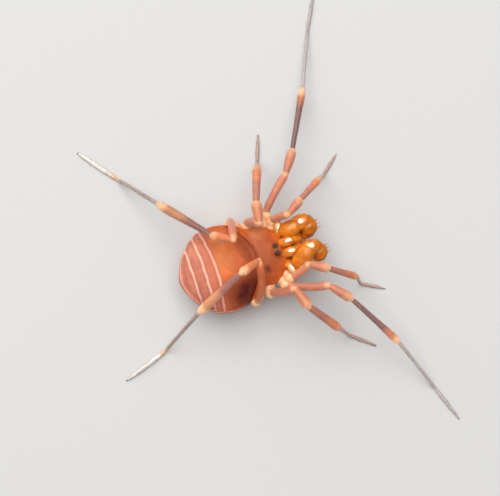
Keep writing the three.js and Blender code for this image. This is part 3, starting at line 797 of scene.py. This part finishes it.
def amber_material(colours):
    """Translucent amber of the mouthparts, wet on some, pale at the hips and dark towards the tips."""
    material, tree, shader = new_material("amber_cuticle")
    vector = millimetres(tree)
    along = place_on_limb(tree)
    amber = colours.amber
    rust, gold = scaled(amber, 0.55, 0.38, 0.5), scaled(amber, 1.25, 1.4, 1.2)
    clouds = [(0.34, mixed(amber, rust, 0.3)), (0.5, amber), (0.66, gold)]
    colour = ramp(tree, noise(tree, vector, 2.6, 3.0), clouds)
    colour = blend(tree, fade(tree, along, 0.22, 0.34, 0.0, 0.4), colour, rust)
    colour = blend(tree, fade(tree, along, PALE_MARK, 0.0, 0.75, 0.0), colour, colours.cream)
    colour = blend(tree, fade(tree, along, 0.6, 1.0), colour, scaled(rust, 0.2))
    finish_cuticle(tree, shader, colour, grain(tree, vector, 14.0, 0.5), **FINISHES["amber"])
    _, _, upward = parts_of(tree, put(tree, "ShaderNodeNewGeometry").outputs["Normal"])
    wet = ramp(tree, along, WET_PLACES, "LINEAR")
    looks = {
        "Coat Weight": times(tree, fade(tree, upward, 0.0, 0.7, 0.3, 1.0), wet),
        "Coat Roughness": 0.05,
        "Coat IOR": 1.55,
        "Roughness": calc(tree, "MULTIPLY_ADD", wet, -0.16, 0.48),
        "Specular IOR Level": 0.06,
    }
    feed(tree, shader, looks)
    return material


def speckled_material(name, scale, tones, looks):
    """A finish whose colour wanders between tones, with the shader's other values."""
    material, tree, shader = new_material(name)
    colour = ramp(tree, noise(tree, millimetres(tree), scale), tones)
    feed(tree, shader, {"Base Color": colour, **looks})
    return material


def horn_material():
    """Dark horn of the leg claws."""
    tones = [(0.3, linear(92, 44, 14)), (0.7, linear(142, 74, 24))]
    return speckled_material("dark_horn", 9.0, tones, {"Roughness": 0.22})


def eye_material():
    """Black glossy lens with a faint brown depth."""
    tones = [(0.35, linear(20, 14, 12)), (0.65, linear(44, 26, 18))]
    return speckled_material("eye_lens", 6.0, tones, {"Roughness": 0.1, "Coat Weight": 0.2})


def hair_material():
    """Pale golden hair."""
    tones = [(0.35, linear(164, 112, 80)), (0.65, linear(222, 176, 142))]
    return speckled_material("fine_hair", 4.0, tones, {"Roughness": 0.4})


def floor_material():
    """Plain pale studio floor with a very faint speckle."""
    material, tree, shader = new_material("studio_floor")
    place = put(tree, "ShaderNodeTexCoord").outputs["Object"]
    tones = [(0.3, linear(186, 184, 181)), (0.7, linear(189, 187, 184))]
    feed(tree, shader, {"Base Color": ramp(tree, noise(tree, place, 9000.0), tones), "Roughness": 0.85})
    return material


# Forms


def smooth_profile(stops, at):
    """Value at a place between stops, on a curve that never overshoots them."""
    places = [place for place, _ in stops]
    values = [value for _, value in stops]
    last = len(stops) - 1
    if at <= places[0]:
        return values[0]
    if at >= places[last]:
        return values[last]
    index = max(i for i in range(last) if places[i] <= at)
    rises = [(values[i + 1] - values[i]) / (places[i + 1] - places[i]) for i in range(last)]

    def slope(i):
        if i in (0, last):
            return rises[0 if i == 0 else last - 1]
        before, after = rises[i - 1], rises[i]
        return 0.0 if before * after <= 0 else 2 * before * after / (before + after)

    step = places[index + 1] - places[index]
    t = (at - places[index]) / step
    start = (2 * t**3 - 3 * t**2 + 1) * values[index] + (t**3 - 2 * t**2 + t) * step * slope(index)
    end = (3 * t**2 - 2 * t**3) * values[index + 1] + (t**3 - t**2) * step * slope(index + 1)
    return start + end


def steady_axis(tangents):
    """The upward axis, or the one across the body where any tangent is close to upward."""
    steep = any(abs(tangent.z) > STEEP for tangent in tangents)
    return Vector((1, 0, 0)) if steep else Vector((0, 0, 1))


def ring_matrix(centre, tangent, wide, deep, reference=None):
    """Puts a unit circle square to a tangent, with half width and half depth."""
    across = (reference or steady_axis([tangent])).cross(tangent).normalized()
    upward = tangent.cross(across)
    turn = Matrix((across * wide, upward * deep, tangent)).transposed()
    return Matrix.Translation(centre) @ turn.to_4x4()


def bowed(start, end, bow, t):
    """Point and tangent at a share of a line whose middle is moved by the bow."""
    middle = (start + end) / 2 + 2 * Vector(bow or (0, 0, 0))
    point = (1 - t) ** 2 * start + 2 * t * (1 - t) * middle + t * t * end
    return point, ((1 - t) * (middle - start) + t * (end - middle)).normalized()


def limb(bm, start, end, stops, bow=None, sides=20, rings=26, flat=1.0, marks=(0.0, 1.0), beads=None):
    """A closed round limb with domed ends, extruded ring by ring from one circle.

    Stops give the radius by share of the length, bow moves the middle sideways, flat squeezes the depth,
    marks are the values of the layer "along" at both ends, and beads is a count and depth of shallow rings.
    """
    start, end = Vector(start), Vector(end)
    layer = bm.verts.layers.float.get("along") or bm.verts.layers.float.new("along")
    length = (end - start).length
    first, last = stops[0][1], stops[-1][1]
    stations = [(-first * math.cos(a), first * math.sin(a)) for a in DOME_ANGLES]
    for i in range(rings + 1):
        share = i / rings
        radius = smooth_profile(stops, share)
        if beads:
            radius *= 1 - beads[1] * max(0.0, math.cos(2 * math.pi * share * beads[0])) ** 6
        stations.append((share * length, radius))
    stations += [(length + last * math.cos(a), last * math.sin(a)) for a in reversed(DOME_ANGLES)]

    shares = [min(1.0, max(0.0, distance / length)) for distance, _ in stations]
    route = [bowed(start, end, bow, share) for share in shares]
    reference = steady_axis([tangent for _, tangent in route])
    matrices = []
    for (distance, radius), share, (centre, tangent) in zip(stations, shares, route):
        centre += tangent * (distance - share * length)
        ring = ring_matrix(centre, tangent, radius, radius * flat, reference)
        matrices.append((ring, marks[0] + share * (marks[1] - marks[0])))

    matrix, mark = matrices[0]
    circle = bmesh.ops.create_circle(bm, cap_ends=True, radius=1, segments=sides, matrix=matrix)["verts"]
    edges = list(dict.fromkeys(edge for vert in circle for edge in vert.link_edges))
    for vert in circle:
        vert[layer] = mark
    for (here, _), (there, mark) in zip(matrices, matrices[1:]):
        grown = bmesh.ops.extrude_edge_only(bm, edges=edges)["geom"]
        edges = [item for item in grown if isinstance(item, bmesh.types.BMEdge)]
        verts = [item for item in grown if isinstance(item, bmesh.types.BMVert)]
        bmesh.ops.transform(bm, matrix=there @ here.inverted(), verts=verts)
        for vert in verts:
            vert[layer] = mark
    bmesh.ops.edgeloop_fill(bm, edges=edges)


def oval(bm, centre, radii, mark=0.0, turn=None, segments=24):
    """A closed oval ball."""
    layer = bm.verts.layers.float.get("along") or bm.verts.layers.float.new("along")
    matrix = Matrix.Translation(centre) @ (turn or Matrix()) @ Matrix.Diagonal((*radii, 1))
    grid = {"u_segments": segments, "v_segments": segments // 2}
    made = bmesh.ops.create_uvsphere(bm, radius=1, matrix=matrix, **grid)
    for vert in made["verts"]:
        vert[layer] = mark


def spine(bm, root, direction, length, radius, mark=0.2, bend=0.0):
    """A stout spine: a swollen foot that carries a long, slightly bent bristle."""
    direction = direction.normalized()
    bow = direction.cross(Vector((0, 0, 1))) * bend * length
    stops = [(share, radius * part) for share, part in SPINE_PROFILE]
    limb(bm, root, root + direction * length, stops, bow, sides=8, rings=10, marks=(mark, 1.0))


def hair(bm, root, direction, length, patch):
    """One fine tapering hair whose faces share a small patch of the bake map."""
    layer = bm.loops.layers.uv.get("OFBake") or bm.loops.layers.uv.new("OFBake")
    turn = direction.to_track_quat("Z", "Y").to_matrix().to_4x4()
    matrix = Matrix.Translation(root + direction * length / 2) @ turn
    sizes = {"radius1": HAIR["radius"], "radius2": HAIR["radius"] * 0.2, "depth": length}
    made = bmesh.ops.create_cone(bm, cap_ends=True, segments=3, matrix=matrix, **sizes)
    for face in dict.fromkeys(face for vert in made["verts"] for face in vert.link_faces):
        for corner, (u, v) in zip(face.loops, ((0, 0), (1, 0), (1, 1), (0, 1))):
            corner[layer].uv = (patch[0] + u * HAIR["patch"], patch[1] + v * HAIR["patch"])


def side_point(side, place):
    """A point on one side from outward, ahead and height."""
    return Vector((side * place[0], -place[1], place[2]))


def heading(side, bearing, elevation):
    """Unit vector of a bearing (0 outward, 90 ahead) and an elevation, in degrees."""
    turn, lift = math.radians(bearing), math.radians(elevation)
    level = math.cos(lift)
    return Vector((side * level * math.cos(turn), -level * math.sin(turn), math.sin(lift)))


def leg_joints(side_name, pair):
    """The six joints of a leg, from the hip to the tip."""
    side = SIDES[side_name]
    size = LEGS[pair]
    femur, patella, tibia, metatarsus, tarsus = POSES[side_name][pair]
    joints = [Vector((side * size["side"], size["back"], HIP_HEIGHT))]
    for part, angles in (("femur", femur), ("patella", patella), ("tibia", tibia)):
        joints.append(joints[-1] + heading(side, *angles) * size[part])
    for part, bearing, height in (("metatarsus", metatarsus, ANKLE_HEIGHT), ("tarsus", tarsus, TIP_HEIGHT)):
        drop = math.degrees(math.asin((height - joints[-1].z) / size[part]))
        joints.append(joints[-1] + heading(side, bearing, drop) * size[part])
    return joints


def glossy_pieces():
    """The group of wet mouthparts that the window light reflects in."""
    return bpy.data.collections.get("wet_mouthparts") or bpy.data.collections.new("wet_mouthparts")


def add_piece(name, bm, material, slot_name, *nodes):
    """Closes a bmesh into a piece in the model's frame that rides on the root and stands for CAD nodes."""
    bmesh.ops.recalc_face_normals(bm, faces=bm.faces)
    bm.transform(TO_MODEL)
    mesh = bpy.data.meshes.new(name)
    bm.to_mesh(mesh)
    bm.free()
    mesh.materials.append(material)
    mesh.shade_smooth()
    piece = bpy.data.objects.new(name, mesh)
    bpy.context.scene.collection.objects.link(piece)
    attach(piece, "root")
    if nodes:
        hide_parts(*nodes)
    if slot_name == "mouthparts":
        glossy_pieces().objects.link(piece)


# Trunk


def share_of(form, y):
    """How wide the form is at a place along the body, as a share of its greatest width."""
    reach = form["widest"] - form["front"] if y < form["widest"] else form["rear"] - form["widest"]
    power = form["front_round"] if y < form["widest"] else form["rear_round"]
    return max(0.0, 1 - ((y - form["widest"]) / reach) ** 2) ** power


def soft_max(a, b, soft=0.12):
    """The larger of two values, rounded where they meet."""
    return (a + b + math.sqrt((a - b) ** 2 + soft * soft * min(1.0, a * b))) / 2


def trunk_extent(y):
    """Half width, top and bottom of the trunk at a place along it."""
    fore, hind = share_of(FORE, y), share_of(HIND, y)
    half = soft_max(fore * FORE["half_width"], hind * HIND["half_width"])
    rise = soft_max(fore * FORE["rise"], hind * (HIND["rise"] + HIND["middle"] - FORE["middle"]))
    drop = soft_max(fore * FORE["drop"], hind * (HIND["drop"] - HIND["middle"] + FORE["middle"]))
    return half, rise, drop


def bump_at(value, at, width):
    """A rounded rise of height 1 around a value."""
    away = (value - at) / width
    return math.exp(-away * away)


def relief(place, lift, furrow_depth):
    """How far the trunk's surface stands out or sinks in; lift runs from -1 below to 1 on top."""
    x, y, z = place
    bend = (x / HIND["half_width"]) ** 2
    upper = max(0.0, min(1.0, lift * 4))
    edge = max(0.0, min(1.0, lift * 4 + 0.6))
    lower = max(0.0, min(1.0, -lift * 4))
    notch = furrow_depth * (1 + 1.3 * bump_at(lift, 0.05, 0.25))
    height = -WAIST["depth"] * bump_at(y - WAIST["lag"] * x * x, WAIST["at"], WAIST["width"]) * upper
    for at, lag in BACK_LINES:
        along = y - lag * bend
        height -= notch * bump_at(along, at, FURROW["back"]) * edge
        height += SWELL["share"] * notch * bump_at(along, at + SWELL["behind"], SWELL["width"]) * edge
    for at in BELLY_LINES:
        height -= furrow_depth * bump_at(y + BELLY_BEND * bend, at, FURROW["belly"]) * lower
    mound = (x / EYE_MOUND["half_width"]) ** 2 + (y / EYE_MOUND["half_length"]) ** 2
    height += EYE_MOUND["rise"] * math.exp(-mound * mound) * upper
    if y < WAIST["at"]:
        (ridge, *ridge_place), (groove, *groove_place) = MARGIN["ridge"], MARGIN["groove"]
        return height + ridge * bump_at(lift, *ridge_place) - groove * bump_at(lift, *groove_place)
    (ridge, ridge_width), (groove, groove_width) = RIM["ridge"], RIM["groove"]
    ridge *= bump_at(z, RIM["height"], ridge_width)
    groove *= bump_at(z, RIM["height"] + RIM["groove_above"], groove_width)
    return height + ridge - groove


def trunk_skin(sizes):
    """Fore and hind body as one closed skin with waist, furrows, margins and the mound of the eyes."""
    bm = bmesh.new()
    quarter = Matrix.Rotation(math.radians(90), 4, "X")
    bmesh.ops.create_uvsphere(bm, radius=1, matrix=quarter, **TRUNK_GRID)
    middle, reach = (FORE["front"] + HIND["rear"]) / 2, (HIND["rear"] - FORE["front"]) / 2
    lifts = {}
    for vert in bm.verts:
        y = middle + reach * max(-1.0, min(1.0, vert.co.y))
        round_at = math.hypot(vert.co.x, vert.co.z)
        across, lift = (vert.co.x / round_at, vert.co.z / round_at) if round_at > 1e-6 else (0.0, 0.0)
        half, rise, drop = trunk_extent(y)
        x = half * math.copysign(abs(across) ** TRUNK_ROUNDING[0], across)
        z = (rise if lift > 0 else drop) * math.copysign(abs(lift) ** TRUNK_ROUNDING[1], lift)
        vert.co = (x, y, FORE["middle"] + z)
        lifts[vert] = lift
    bm.normal_update()
    depth = sizes.furrow_depth / MM
    moves = [(vert, relief(vert.co, lift, depth)) for vert, lift in lifts.items()]
    for vert, move in moves:
        vert.co += vert.normal * move
    return bm


def add_coxae(bm):
    """The fused leg bases under the fore body, and the plates that close the belly between them."""
    for side in SIDES.values():
        for size in LEGS.values():
            hip = Vector((side * size["side"], size["back"], HIP_HEIGHT - COXA["drop"]))
            behind = hip.y * COXA["along"] + COXA["behind"]
            root = Vector((hip.x * COXA["out"], behind, COXA["height"]))
            inner = hip - (hip - root).normalized() * COXA["short"]
            limb(bm, root, inner, COXA_RADII, (0, 0, -0.05), sides=28, rings=24, flat=1.05)
    for middle, radii in BELLY_PLATES:
        oval(bm, Vector(middle), radii, 0.5, segments=32)


class HARVESTMAN_OT_trunk(bpy.types.Operator):
    """Builds the skin of the fore and hind body."""

    bl_idname = "harvestman.trunk"
    bl_label = "Trunk skin"

    def execute(self, context):
        skin = material_once("trunk_cuticle", trunk_material, context.scene.harvestman_colours)
        bm = trunk_skin(context.scene.harvestman_sizes)
        add_piece("trunk_skin", bm, skin, "hind_body", "prosoma", "opisthosoma")
        return {"FINISHED"}


class HARVESTMAN_OT_coxae(bpy.types.Operator):
    """Builds the fused leg bases."""

    bl_idname = "harvestman.coxae"
    bl_label = "Leg bases"

    def execute(self, context):
        skin = material_once("coxa_cuticle", coxa_material, context.scene.harvestman_colours)
        bm = bmesh.new()
        add_coxae(bm)
        add_piece("leg_bases", bm, skin, "carapace")
        return {"FINISHED"}


class HARVESTMAN_OT_eyes(bpy.types.Operator):
    """Builds both eyes over their solids."""

    bl_idname = "harvestman.eyes"
    bl_label = "Eyes"

    def execute(self, context):
        lens = material_once("eye_lens", eye_material)
        for side_name, side in SIDES.items():
            low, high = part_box(f"eye_{side_name}")
            radius = EYE["share"] * (high.x - low.x) / 2 / MM
            centre = side_point(side, (EYE["side"], EYE["ahead"], EYE["height"]))
            bm = bmesh.new()
            oval(bm, centre, (radius,) * 3, segments=32)
            add_piece(f"eye_lens_{side_name}", bm, lens, "eye", f"eye_{side_name}")
        return {"FINISHED"}


# Legs


def leg_segments(side_name, pair, factor):
    """Each segment of a leg as its name, both ends, radius stops and bow."""
    side, girth = SIDES[side_name], GIRTHS[pair] * factor
    hip, knee, patella_end, tibia_end, ankle, tip = leg_joints(side_name, pair)
    outward, ahead, up = FEMUR_BOWS[pair]
    size = LEGS[pair]
    rows = [
        ("femur", "femur", hip, knee, (side * outward, -ahead, up)),
        ("patella", "patella", knee, patella_end, (0, 0, 0.03)),
        ("tibia", f"tibia_{pair}", patella_end, tibia_end, (0, 0, 0.02 * size["tibia"])),
        ("metatarsus", "metatarsus", tibia_end, ankle, (0, 0, 0.01 * size["metatarsus"])),
        ("tarsus", "tarsus_4" if pair == 4 else "tarsus", ankle, tip, (0, 0, 0.04) if pair == 4 else None),
    ]
    segments = {}
    for name, profile, start, end, bow in rows:
        slim = SLIM.get((name, pair), 1.0)
        stops = [(share, radius * girth * slim) for share, radius in SEGMENTS[profile].items()]
        segments[name] = {"start": start, "end": end, "stops": stops, "bow": bow}
    return segments


def add_segment(bm, name, segment, **more):
    """One leg segment with its place along the leg written on it."""
    index = SEGMENT_ORDER.index(name)
    ends = (segment["start"], segment["end"], segment["stops"], segment["bow"])
    limb(bm, *ends, marks=(index, index + 1), **more)


class HARVESTMAN_OT_legs(bpy.types.Operator):
    """Builds the eight legs, each in three pieces as in the solids."""

    bl_idname = "harvestman.legs"
    bl_label = "Legs"

    def execute(self, context):
        colours = context.scene.harvestman_colours
        factor = context.scene.harvestman_sizes.girth
        for side_name, side in SIDES.items():
            for pair in LEGS:
                # Painted shade: some legs get a darker thigh or darker shins than their pair's
                thigh_shade_share = SHADE_PAINTED_THIGHS.get((side_name, pair), 0.0)
                bloom = 0.08 if thigh_shade_share else 0.4
                stops = leg_stops(colours, pair, thigh_shade_share, SHIN_SHADE_GAINS.get((side_name, pair), 1.0))
                material = f"leg_cuticle_{pair}_{side_name}"
                skin = material_once(material, leg_material, material, stops, bloom)
                segments = leg_segments(side_name, pair, factor)
                name = f"leg_{pair}_{side_name}"

                bm = bmesh.new()
                add_segment(bm, "femur", segments["femur"])
                outward, ahead, up = BULB_SHIFTS.get((side_name, pair), USUAL_BULB_SHIFT)
                bulb = segments["femur"]["start"] + Vector((side * outward, -ahead, up))
                oval(bm, bulb, TROCHANTER, mark=0.5)
                add_piece(f"{name}_thigh", bm, skin, "leg_femur", f"{name}_femur")

                bm = bmesh.new()
                add_segment(bm, "patella", segments["patella"])
                add_segment(bm, "tibia", segments["tibia"], rings=34)
                add_piece(f"{name}_shin", bm, skin, "leg_tibia", f"{name}_tibia")

                bm = bmesh.new()
                add_segment(bm, "metatarsus", segments["metatarsus"])
                joints = TARSUS_JOINTS[pair]
                add_segment(bm, "tarsus", segments["tarsus"], beads=(joints, TARSUS_CUT), rings=joints * 9)
                add_piece(f"{name}_sole", bm, skin, "leg_foot", f"{name}_foot")
        return {"FINISHED"}


class HARVESTMAN_OT_hairs(bpy.types.Operator):
    """Scatters fine hairs that lean towards the tip of each leg."""

    bl_idname = "harvestman.hairs"
    bl_label = "Leg hairs"

    def execute(self, context):
        sizes = context.scene.harvestman_sizes
        coat = material_once("fine_hair", hair_material)
        draw = random.Random(sizes.seed)
        longest = sizes.hair_length / MM
        for side_name in SIDES:
            for pair in LEGS:
                bm = bmesh.new()
                for row, (name, segment) in enumerate(leg_segments(side_name, pair, sizes.girth).items()):
                    start, end = segment["start"], segment["end"]
                    density = HAIR["per_mm_foot" if name in ("metatarsus", "tarsus") else "per_mm"]
                    for _ in range(round((end - start).length * density)):
                        share, turn = draw.uniform(0.02, 0.98), draw.uniform(0, 2 * math.pi)
                        length = longest * draw.uniform(0.6, 1.1)
                        centre, tangent = bowed(start, end, segment["bow"], share)
                        axes = ring_matrix(centre, tangent, 1, 1).to_3x3()
                        outward = axes @ Vector((math.cos(turn), math.sin(turn), 0))
                        root = centre + outward * (smooth_profile(segment["stops"], share) - HAIR["radius"])
                        way = (outward * HAIR["rise"] + tangent).normalized()
                        # The patch lies across the bake map by share, and up it by segment and turn
                        patch = (share * 0.99, (row + turn / 6.4) / 5)
                        if (root + way * length).z > FLOOR_GAP:
                            hair(bm, root, way, length, patch)
                add_piece(f"leg_{pair}_{side_name}_hairs", bm, coat, "leg_tibia")
        return {"FINISHED"}


# Mouthparts


def add_lobe(bm, side, name, mark):
    """One soft lobe between the mouthparts, turned about the upright by its own angle."""
    place, radii, degrees = LOBES[name]
    oval(bm, side_point(side, place), radii, mark, Matrix.Rotation(side * math.radians(degrees), 4, "Z"))


class HARVESTMAN_OT_chelicerae(bpy.types.Operator):
    """Builds the glossy chelicerae with their fingers and teeth, and the lip with its side lobes."""

    bl_idname = "harvestman.chelicerae"
    bl_label = "Chelicerae"

    def execute(self, context):
        skin = material_once("amber_cuticle", amber_material, context.scene.harvestman_colours)
        for side_name, side in SIDES.items():
            parts = ("root", "bulla", "wrist", "hand")
            root, bulla, wrist, hand = [side_point(side, CHELICERA[part]) for part in parts]
            bm = bmesh.new()
            limb(bm, root, bulla, MOUTH_RADII["bulla"], (0, 0, 0.03), sides=28, flat=0.88, marks=(0, 0.02))
            limb(bm, wrist, hand, MOUTH_RADII["hand"], sides=28, flat=0.9, marks=(0.1, 0.6))
            tips = [side_point(side, finger) for finger in CHELICERA["fingers"]]
            for tip, other in zip(tips, reversed(tips)):
                radii = MOUTH_RADII["finger"]
                limb(bm, hand, tip, radii, (0, -0.02, 0), sides=12, rings=14, marks=(0.6, 1.0))
                inward = (other - tip).normalized()
                for share in CHELICERA["teeth"]:
                    spine(bm, hand.lerp(tip, share) + inward * 0.03, inward, 0.05, 0.02, 0.9)
            add_piece(f"chelicera_{side_name}_skin", bm, skin, "mouthparts", f"chelicera_{side_name}")
        bm = bmesh.new()
        for side, lobe in ((1, "lip"), (1, "lip_front"), (1, "side"), (-1, "side")):
            add_lobe(bm, side, lobe, DULL_MARK)
        add_piece("lip", bm, skin, "mouthparts")
        return {"FINISHED"}


def palp_spines(bm, side, start, end, girth, name):
    """The rows of spines along a pedipalp segment, which lean towards its end and grow longer along it."""
    axis = (end - start).normalized()
    for away, shares, way, length, thick in PALP_SPINES[name]:
        outward = side_point(side, way)
        outward = (outward - axis * outward.dot(axis)).normalized()
        for share in shares:
            root = start.lerp(end, share) + outward * (girth * away - 0.04)
            spine(bm, root, outward + axis * 0.25, length * (0.85 + 0.3 * share), thick, bend=0.04)


def swollen(girth, name):
    """Radius stops of a swollen palp segment from its greatest radius."""
    return [(place, girth * share) for place, share in PALP_SWELLING[name]]


def add_palp_thigh(bm, side, joint):
    """Coxa, trochanter, pale hip joint and the stout femur with spines below and on its inner side."""
    coxa, trochanter, elbow = (side_point(side, joint[part]) for part in ("coxa", "trochanter", "elbow"))
    outward, ahead, up = joint["femur_bow"]
    bow = (side * outward, -ahead, up)
    girth = joint["femur_girth"]
    limb(bm, coxa, trochanter, MOUTH_RADII["palp_coxa"], sides=28, marks=(0.05, 0.05))
    add_lobe(bm, side, "palp_hip", PALE_MARK)
    radii = swollen(girth, "femur")
    limb(bm, trochanter, elbow, radii, bow, sides=32, rings=32, flat=0.88, marks=(0.05, 0.18))
    palp_spines(bm, side, trochanter, elbow, girth, "femur")


def add_palp_shin(bm, side, joint):
    """Patella, swollen tibia and tarsus with paired spines, and the claw."""
    parts = ("elbow", "wrist", "tibia_end", "tarsus_end", "claw_tip")
    elbow, wrist, tibia_end, tarsus_end, claw_tip = (side_point(side, joint[part]) for part in parts)
    girth = joint["tibia_girth"]
    limb(bm, elbow, wrist, swollen(girth, "patella"), (0, 0, 0.04), sides=28, flat=0.85, marks=(0.2, 0.32))
    limb(bm, wrist, tibia_end, swollen(girth, "tibia"), (0, 0, 0.03), sides=28, marks=(0.3, 0.45))
    limb(bm, tibia_end, tarsus_end, MOUTH_RADII["palp_tarsus"], sides=24, marks=(0.4, 0.6))
    limb(bm, tarsus_end, claw_tip, MOUTH_RADII["palp_claw"], (0, 0, -0.03), sides=12, marks=(0.6, 1.0))
    palp_spines(bm, side, wrist, tibia_end, girth, "tibia")
    palp_spines(bm, side, tibia_end, tarsus_end, TARSUS_GIRTH, "tarsus")


class HARVESTMAN_OT_pedipalps(bpy.types.Operator):
    """Builds the folded pedipalps with their spines and claws."""

    bl_idname = "harvestman.pedipalps"
    bl_label = "Pedipalps"

    def execute(self, context):
        skin = material_once("amber_cuticle", amber_material, context.scene.harvestman_colours)
        for side_name, side in SIDES.items():
            for part, add, node in (("thigh", add_palp_thigh, "femur"), ("shin", add_palp_shin, "tibia")):
                bm = bmesh.new()
                add(bm, side, PALPS[side_name])
                name = f"palp_{side_name}_{part}"
                add_piece(name, bm, skin, "mouthparts", f"pedipalp_{side_name}_{node}")
        return {"FINISHED"}


class HARVESTMAN_OT_claws(bpy.types.Operator):
    """Builds the claws at the tips of the legs: one on each of the first two pairs, two on the others."""

    bl_idname = "harvestman.claws"
    bl_label = "Leg claws"

    def execute(self, context):
        horn = material_once("dark_horn", horn_material)
        bm = bmesh.new()
        for side_name in SIDES:
            for pair in LEGS:
                *_, ankle, tip = leg_joints(side_name, pair)
                along = (tip - ankle).normalized()
                across = along.cross(Vector((0, 0, 1))).normalized()
                spread = CLAW["spread"]
                for aside in (0.0,) if pair in (1, 2) else (-spread, spread):
                    end = tip + along * CLAW["length"] + across * aside
                    end.z -= TIP_HEIGHT - CLAW["height"]
                    limb(bm, tip, end, CLAW["radii"], (0, 0, 0.02), sides=8, rings=10)
        add_piece("leg_claws", bm, horn, "leg_foot")
        return {"FINISHED"}


# Studio


def add_lamp(scene, name, right, upward):
    """One soft square lamp that points at the animal."""
    across, up, height, size, power = LAMPS[name]
    lamp = bpy.data.lights.new(name, "AREA")
    lamp.shape, lamp.size, lamp.energy = "SQUARE", size, power
    holder = bpy.data.objects.new(name, lamp)
    holder.location = right * across + upward * up + Vector((0, 0, height))
    holder.rotation_euler = (holder.location - Vector(LAMP_TARGET)).to_track_quat("Z", "Y").to_euler()
    scene.collection.objects.link(holder)
    return holder


class HARVESTMAN_OT_studio(bpy.types.Operator):
    """Sets the camera, the lights, the floor and the surroundings."""

    bl_idname = "harvestman.studio"
    bl_label = "Studio"

    def execute(self, context):
        scene = context.scene
        tilt, turn = math.radians(CAMERA["tilt"]), math.radians(CAMERA["heading"])
        ahead, left = Vector((0, -1, 0)), Vector((1, 0, 0))
        right = ahead * math.cos(turn) - left * math.sin(turn)
        upward = ahead * math.sin(turn) + left * math.cos(turn)
        back = Vector((0, 0, 1)) * math.cos(tilt) - upward * math.sin(tilt)
        top = back.cross(right)
        eyes = Vector((0, 0, EYE["height"]))
        place = eyes + back * CAMERA["distance"] - right * EYES_IN_PICTURE[0] - top * EYES_IN_PICTURE[1]
        data = bpy.data.cameras.new("camera")
        data.lens, data.sensor_width = CAMERA["lens"], CAMERA["sensor"]
        data.clip_start, data.clip_end = 0.002, 10
        camera = bpy.data.objects.new("camera", data)
        turned = Matrix((right, top, back)).transposed().to_4x4()
        camera.matrix_world = Matrix.Translation(TO_MODEL @ place) @ turned
        scene.collection.objects.link(camera)
        scene.camera = camera

        bm = bmesh.new()
        bmesh.ops.create_grid(bm, x_segments=8, y_segments=8, size=1.0)
        mesh = bpy.data.meshes.new("floor")
        bm.to_mesh(mesh)
        bm.free()
        mesh.materials.append(material_once("studio_floor", floor_material))
        floor = bpy.data.objects.new("floor", mesh)
        scene.collection.objects.link(floor)

        lamps = {name: add_lamp(scene, name, right, upward) for name in LAMPS}
        lamps["window"].visible_diffuse = False
        lamps["window"].light_linking.receiver_collection = glossy_pieces()
        world = bpy.data.worlds.new("surroundings")
        world.use_nodes = True
        feed(world.node_tree, world.node_tree.nodes["Background"], SURROUNDINGS)
        scene.world = world
        scene.view_settings.view_transform = "Standard"
        return {"FINISHED"}


class HARVESTMAN_PT_panel(bpy.types.Panel):
    """Lists the settings and the building steps."""

    bl_label = "Harvestman"
    bl_idname = "HARVESTMAN_PT_panel"
    bl_space_type = "VIEW_3D"
    bl_region_type = "UI"
    bl_category = "Harvestman"

    def draw(self, context):
        for group in (context.scene.harvestman_sizes, context.scene.harvestman_colours):
            for name in group.__annotations__:
                self.layout.prop(group, name)
        for step in STEPS:
            self.layout.operator(step.bl_idname)


STEPS = [
    HARVESTMAN_OT_studio,
    HARVESTMAN_OT_trunk,
    HARVESTMAN_OT_coxae,
    HARVESTMAN_OT_eyes,
    HARVESTMAN_OT_legs,
    HARVESTMAN_OT_hairs,
    HARVESTMAN_OT_chelicerae,
    HARVESTMAN_OT_pedipalps,
    HARVESTMAN_OT_claws,
]
CLASSES = [HarvestmanSizes, HarvestmanColours, *STEPS, HARVESTMAN_PT_panel]


def register():
    for part in CLASSES:
        bpy.utils.register_class(part)
    bpy.types.Scene.harvestman_sizes = bpy.props.PointerProperty(type=HarvestmanSizes)
    bpy.types.Scene.harvestman_colours = bpy.props.PointerProperty(type=HarvestmanColours)


def unregister():
    del bpy.types.Scene.harvestman_colours
    del bpy.types.Scene.harvestman_sizes
    for part in reversed(CLASSES):
        bpy.utils.unregister_class(part)


def main():
    """Builds every piece in order."""
    register()
    bpy.ops.harvestman.studio()
    bpy.ops.harvestman.trunk()
    bpy.ops.harvestman.coxae()
    bpy.ops.harvestman.eyes()
    bpy.ops.harvestman.legs()
    bpy.ops.harvestman.hairs()
    bpy.ops.harvestman.chelicerae()
    bpy.ops.harvestman.pedipalps()
    bpy.ops.harvestman.claws()


if __name__ == "__main__":
    main()
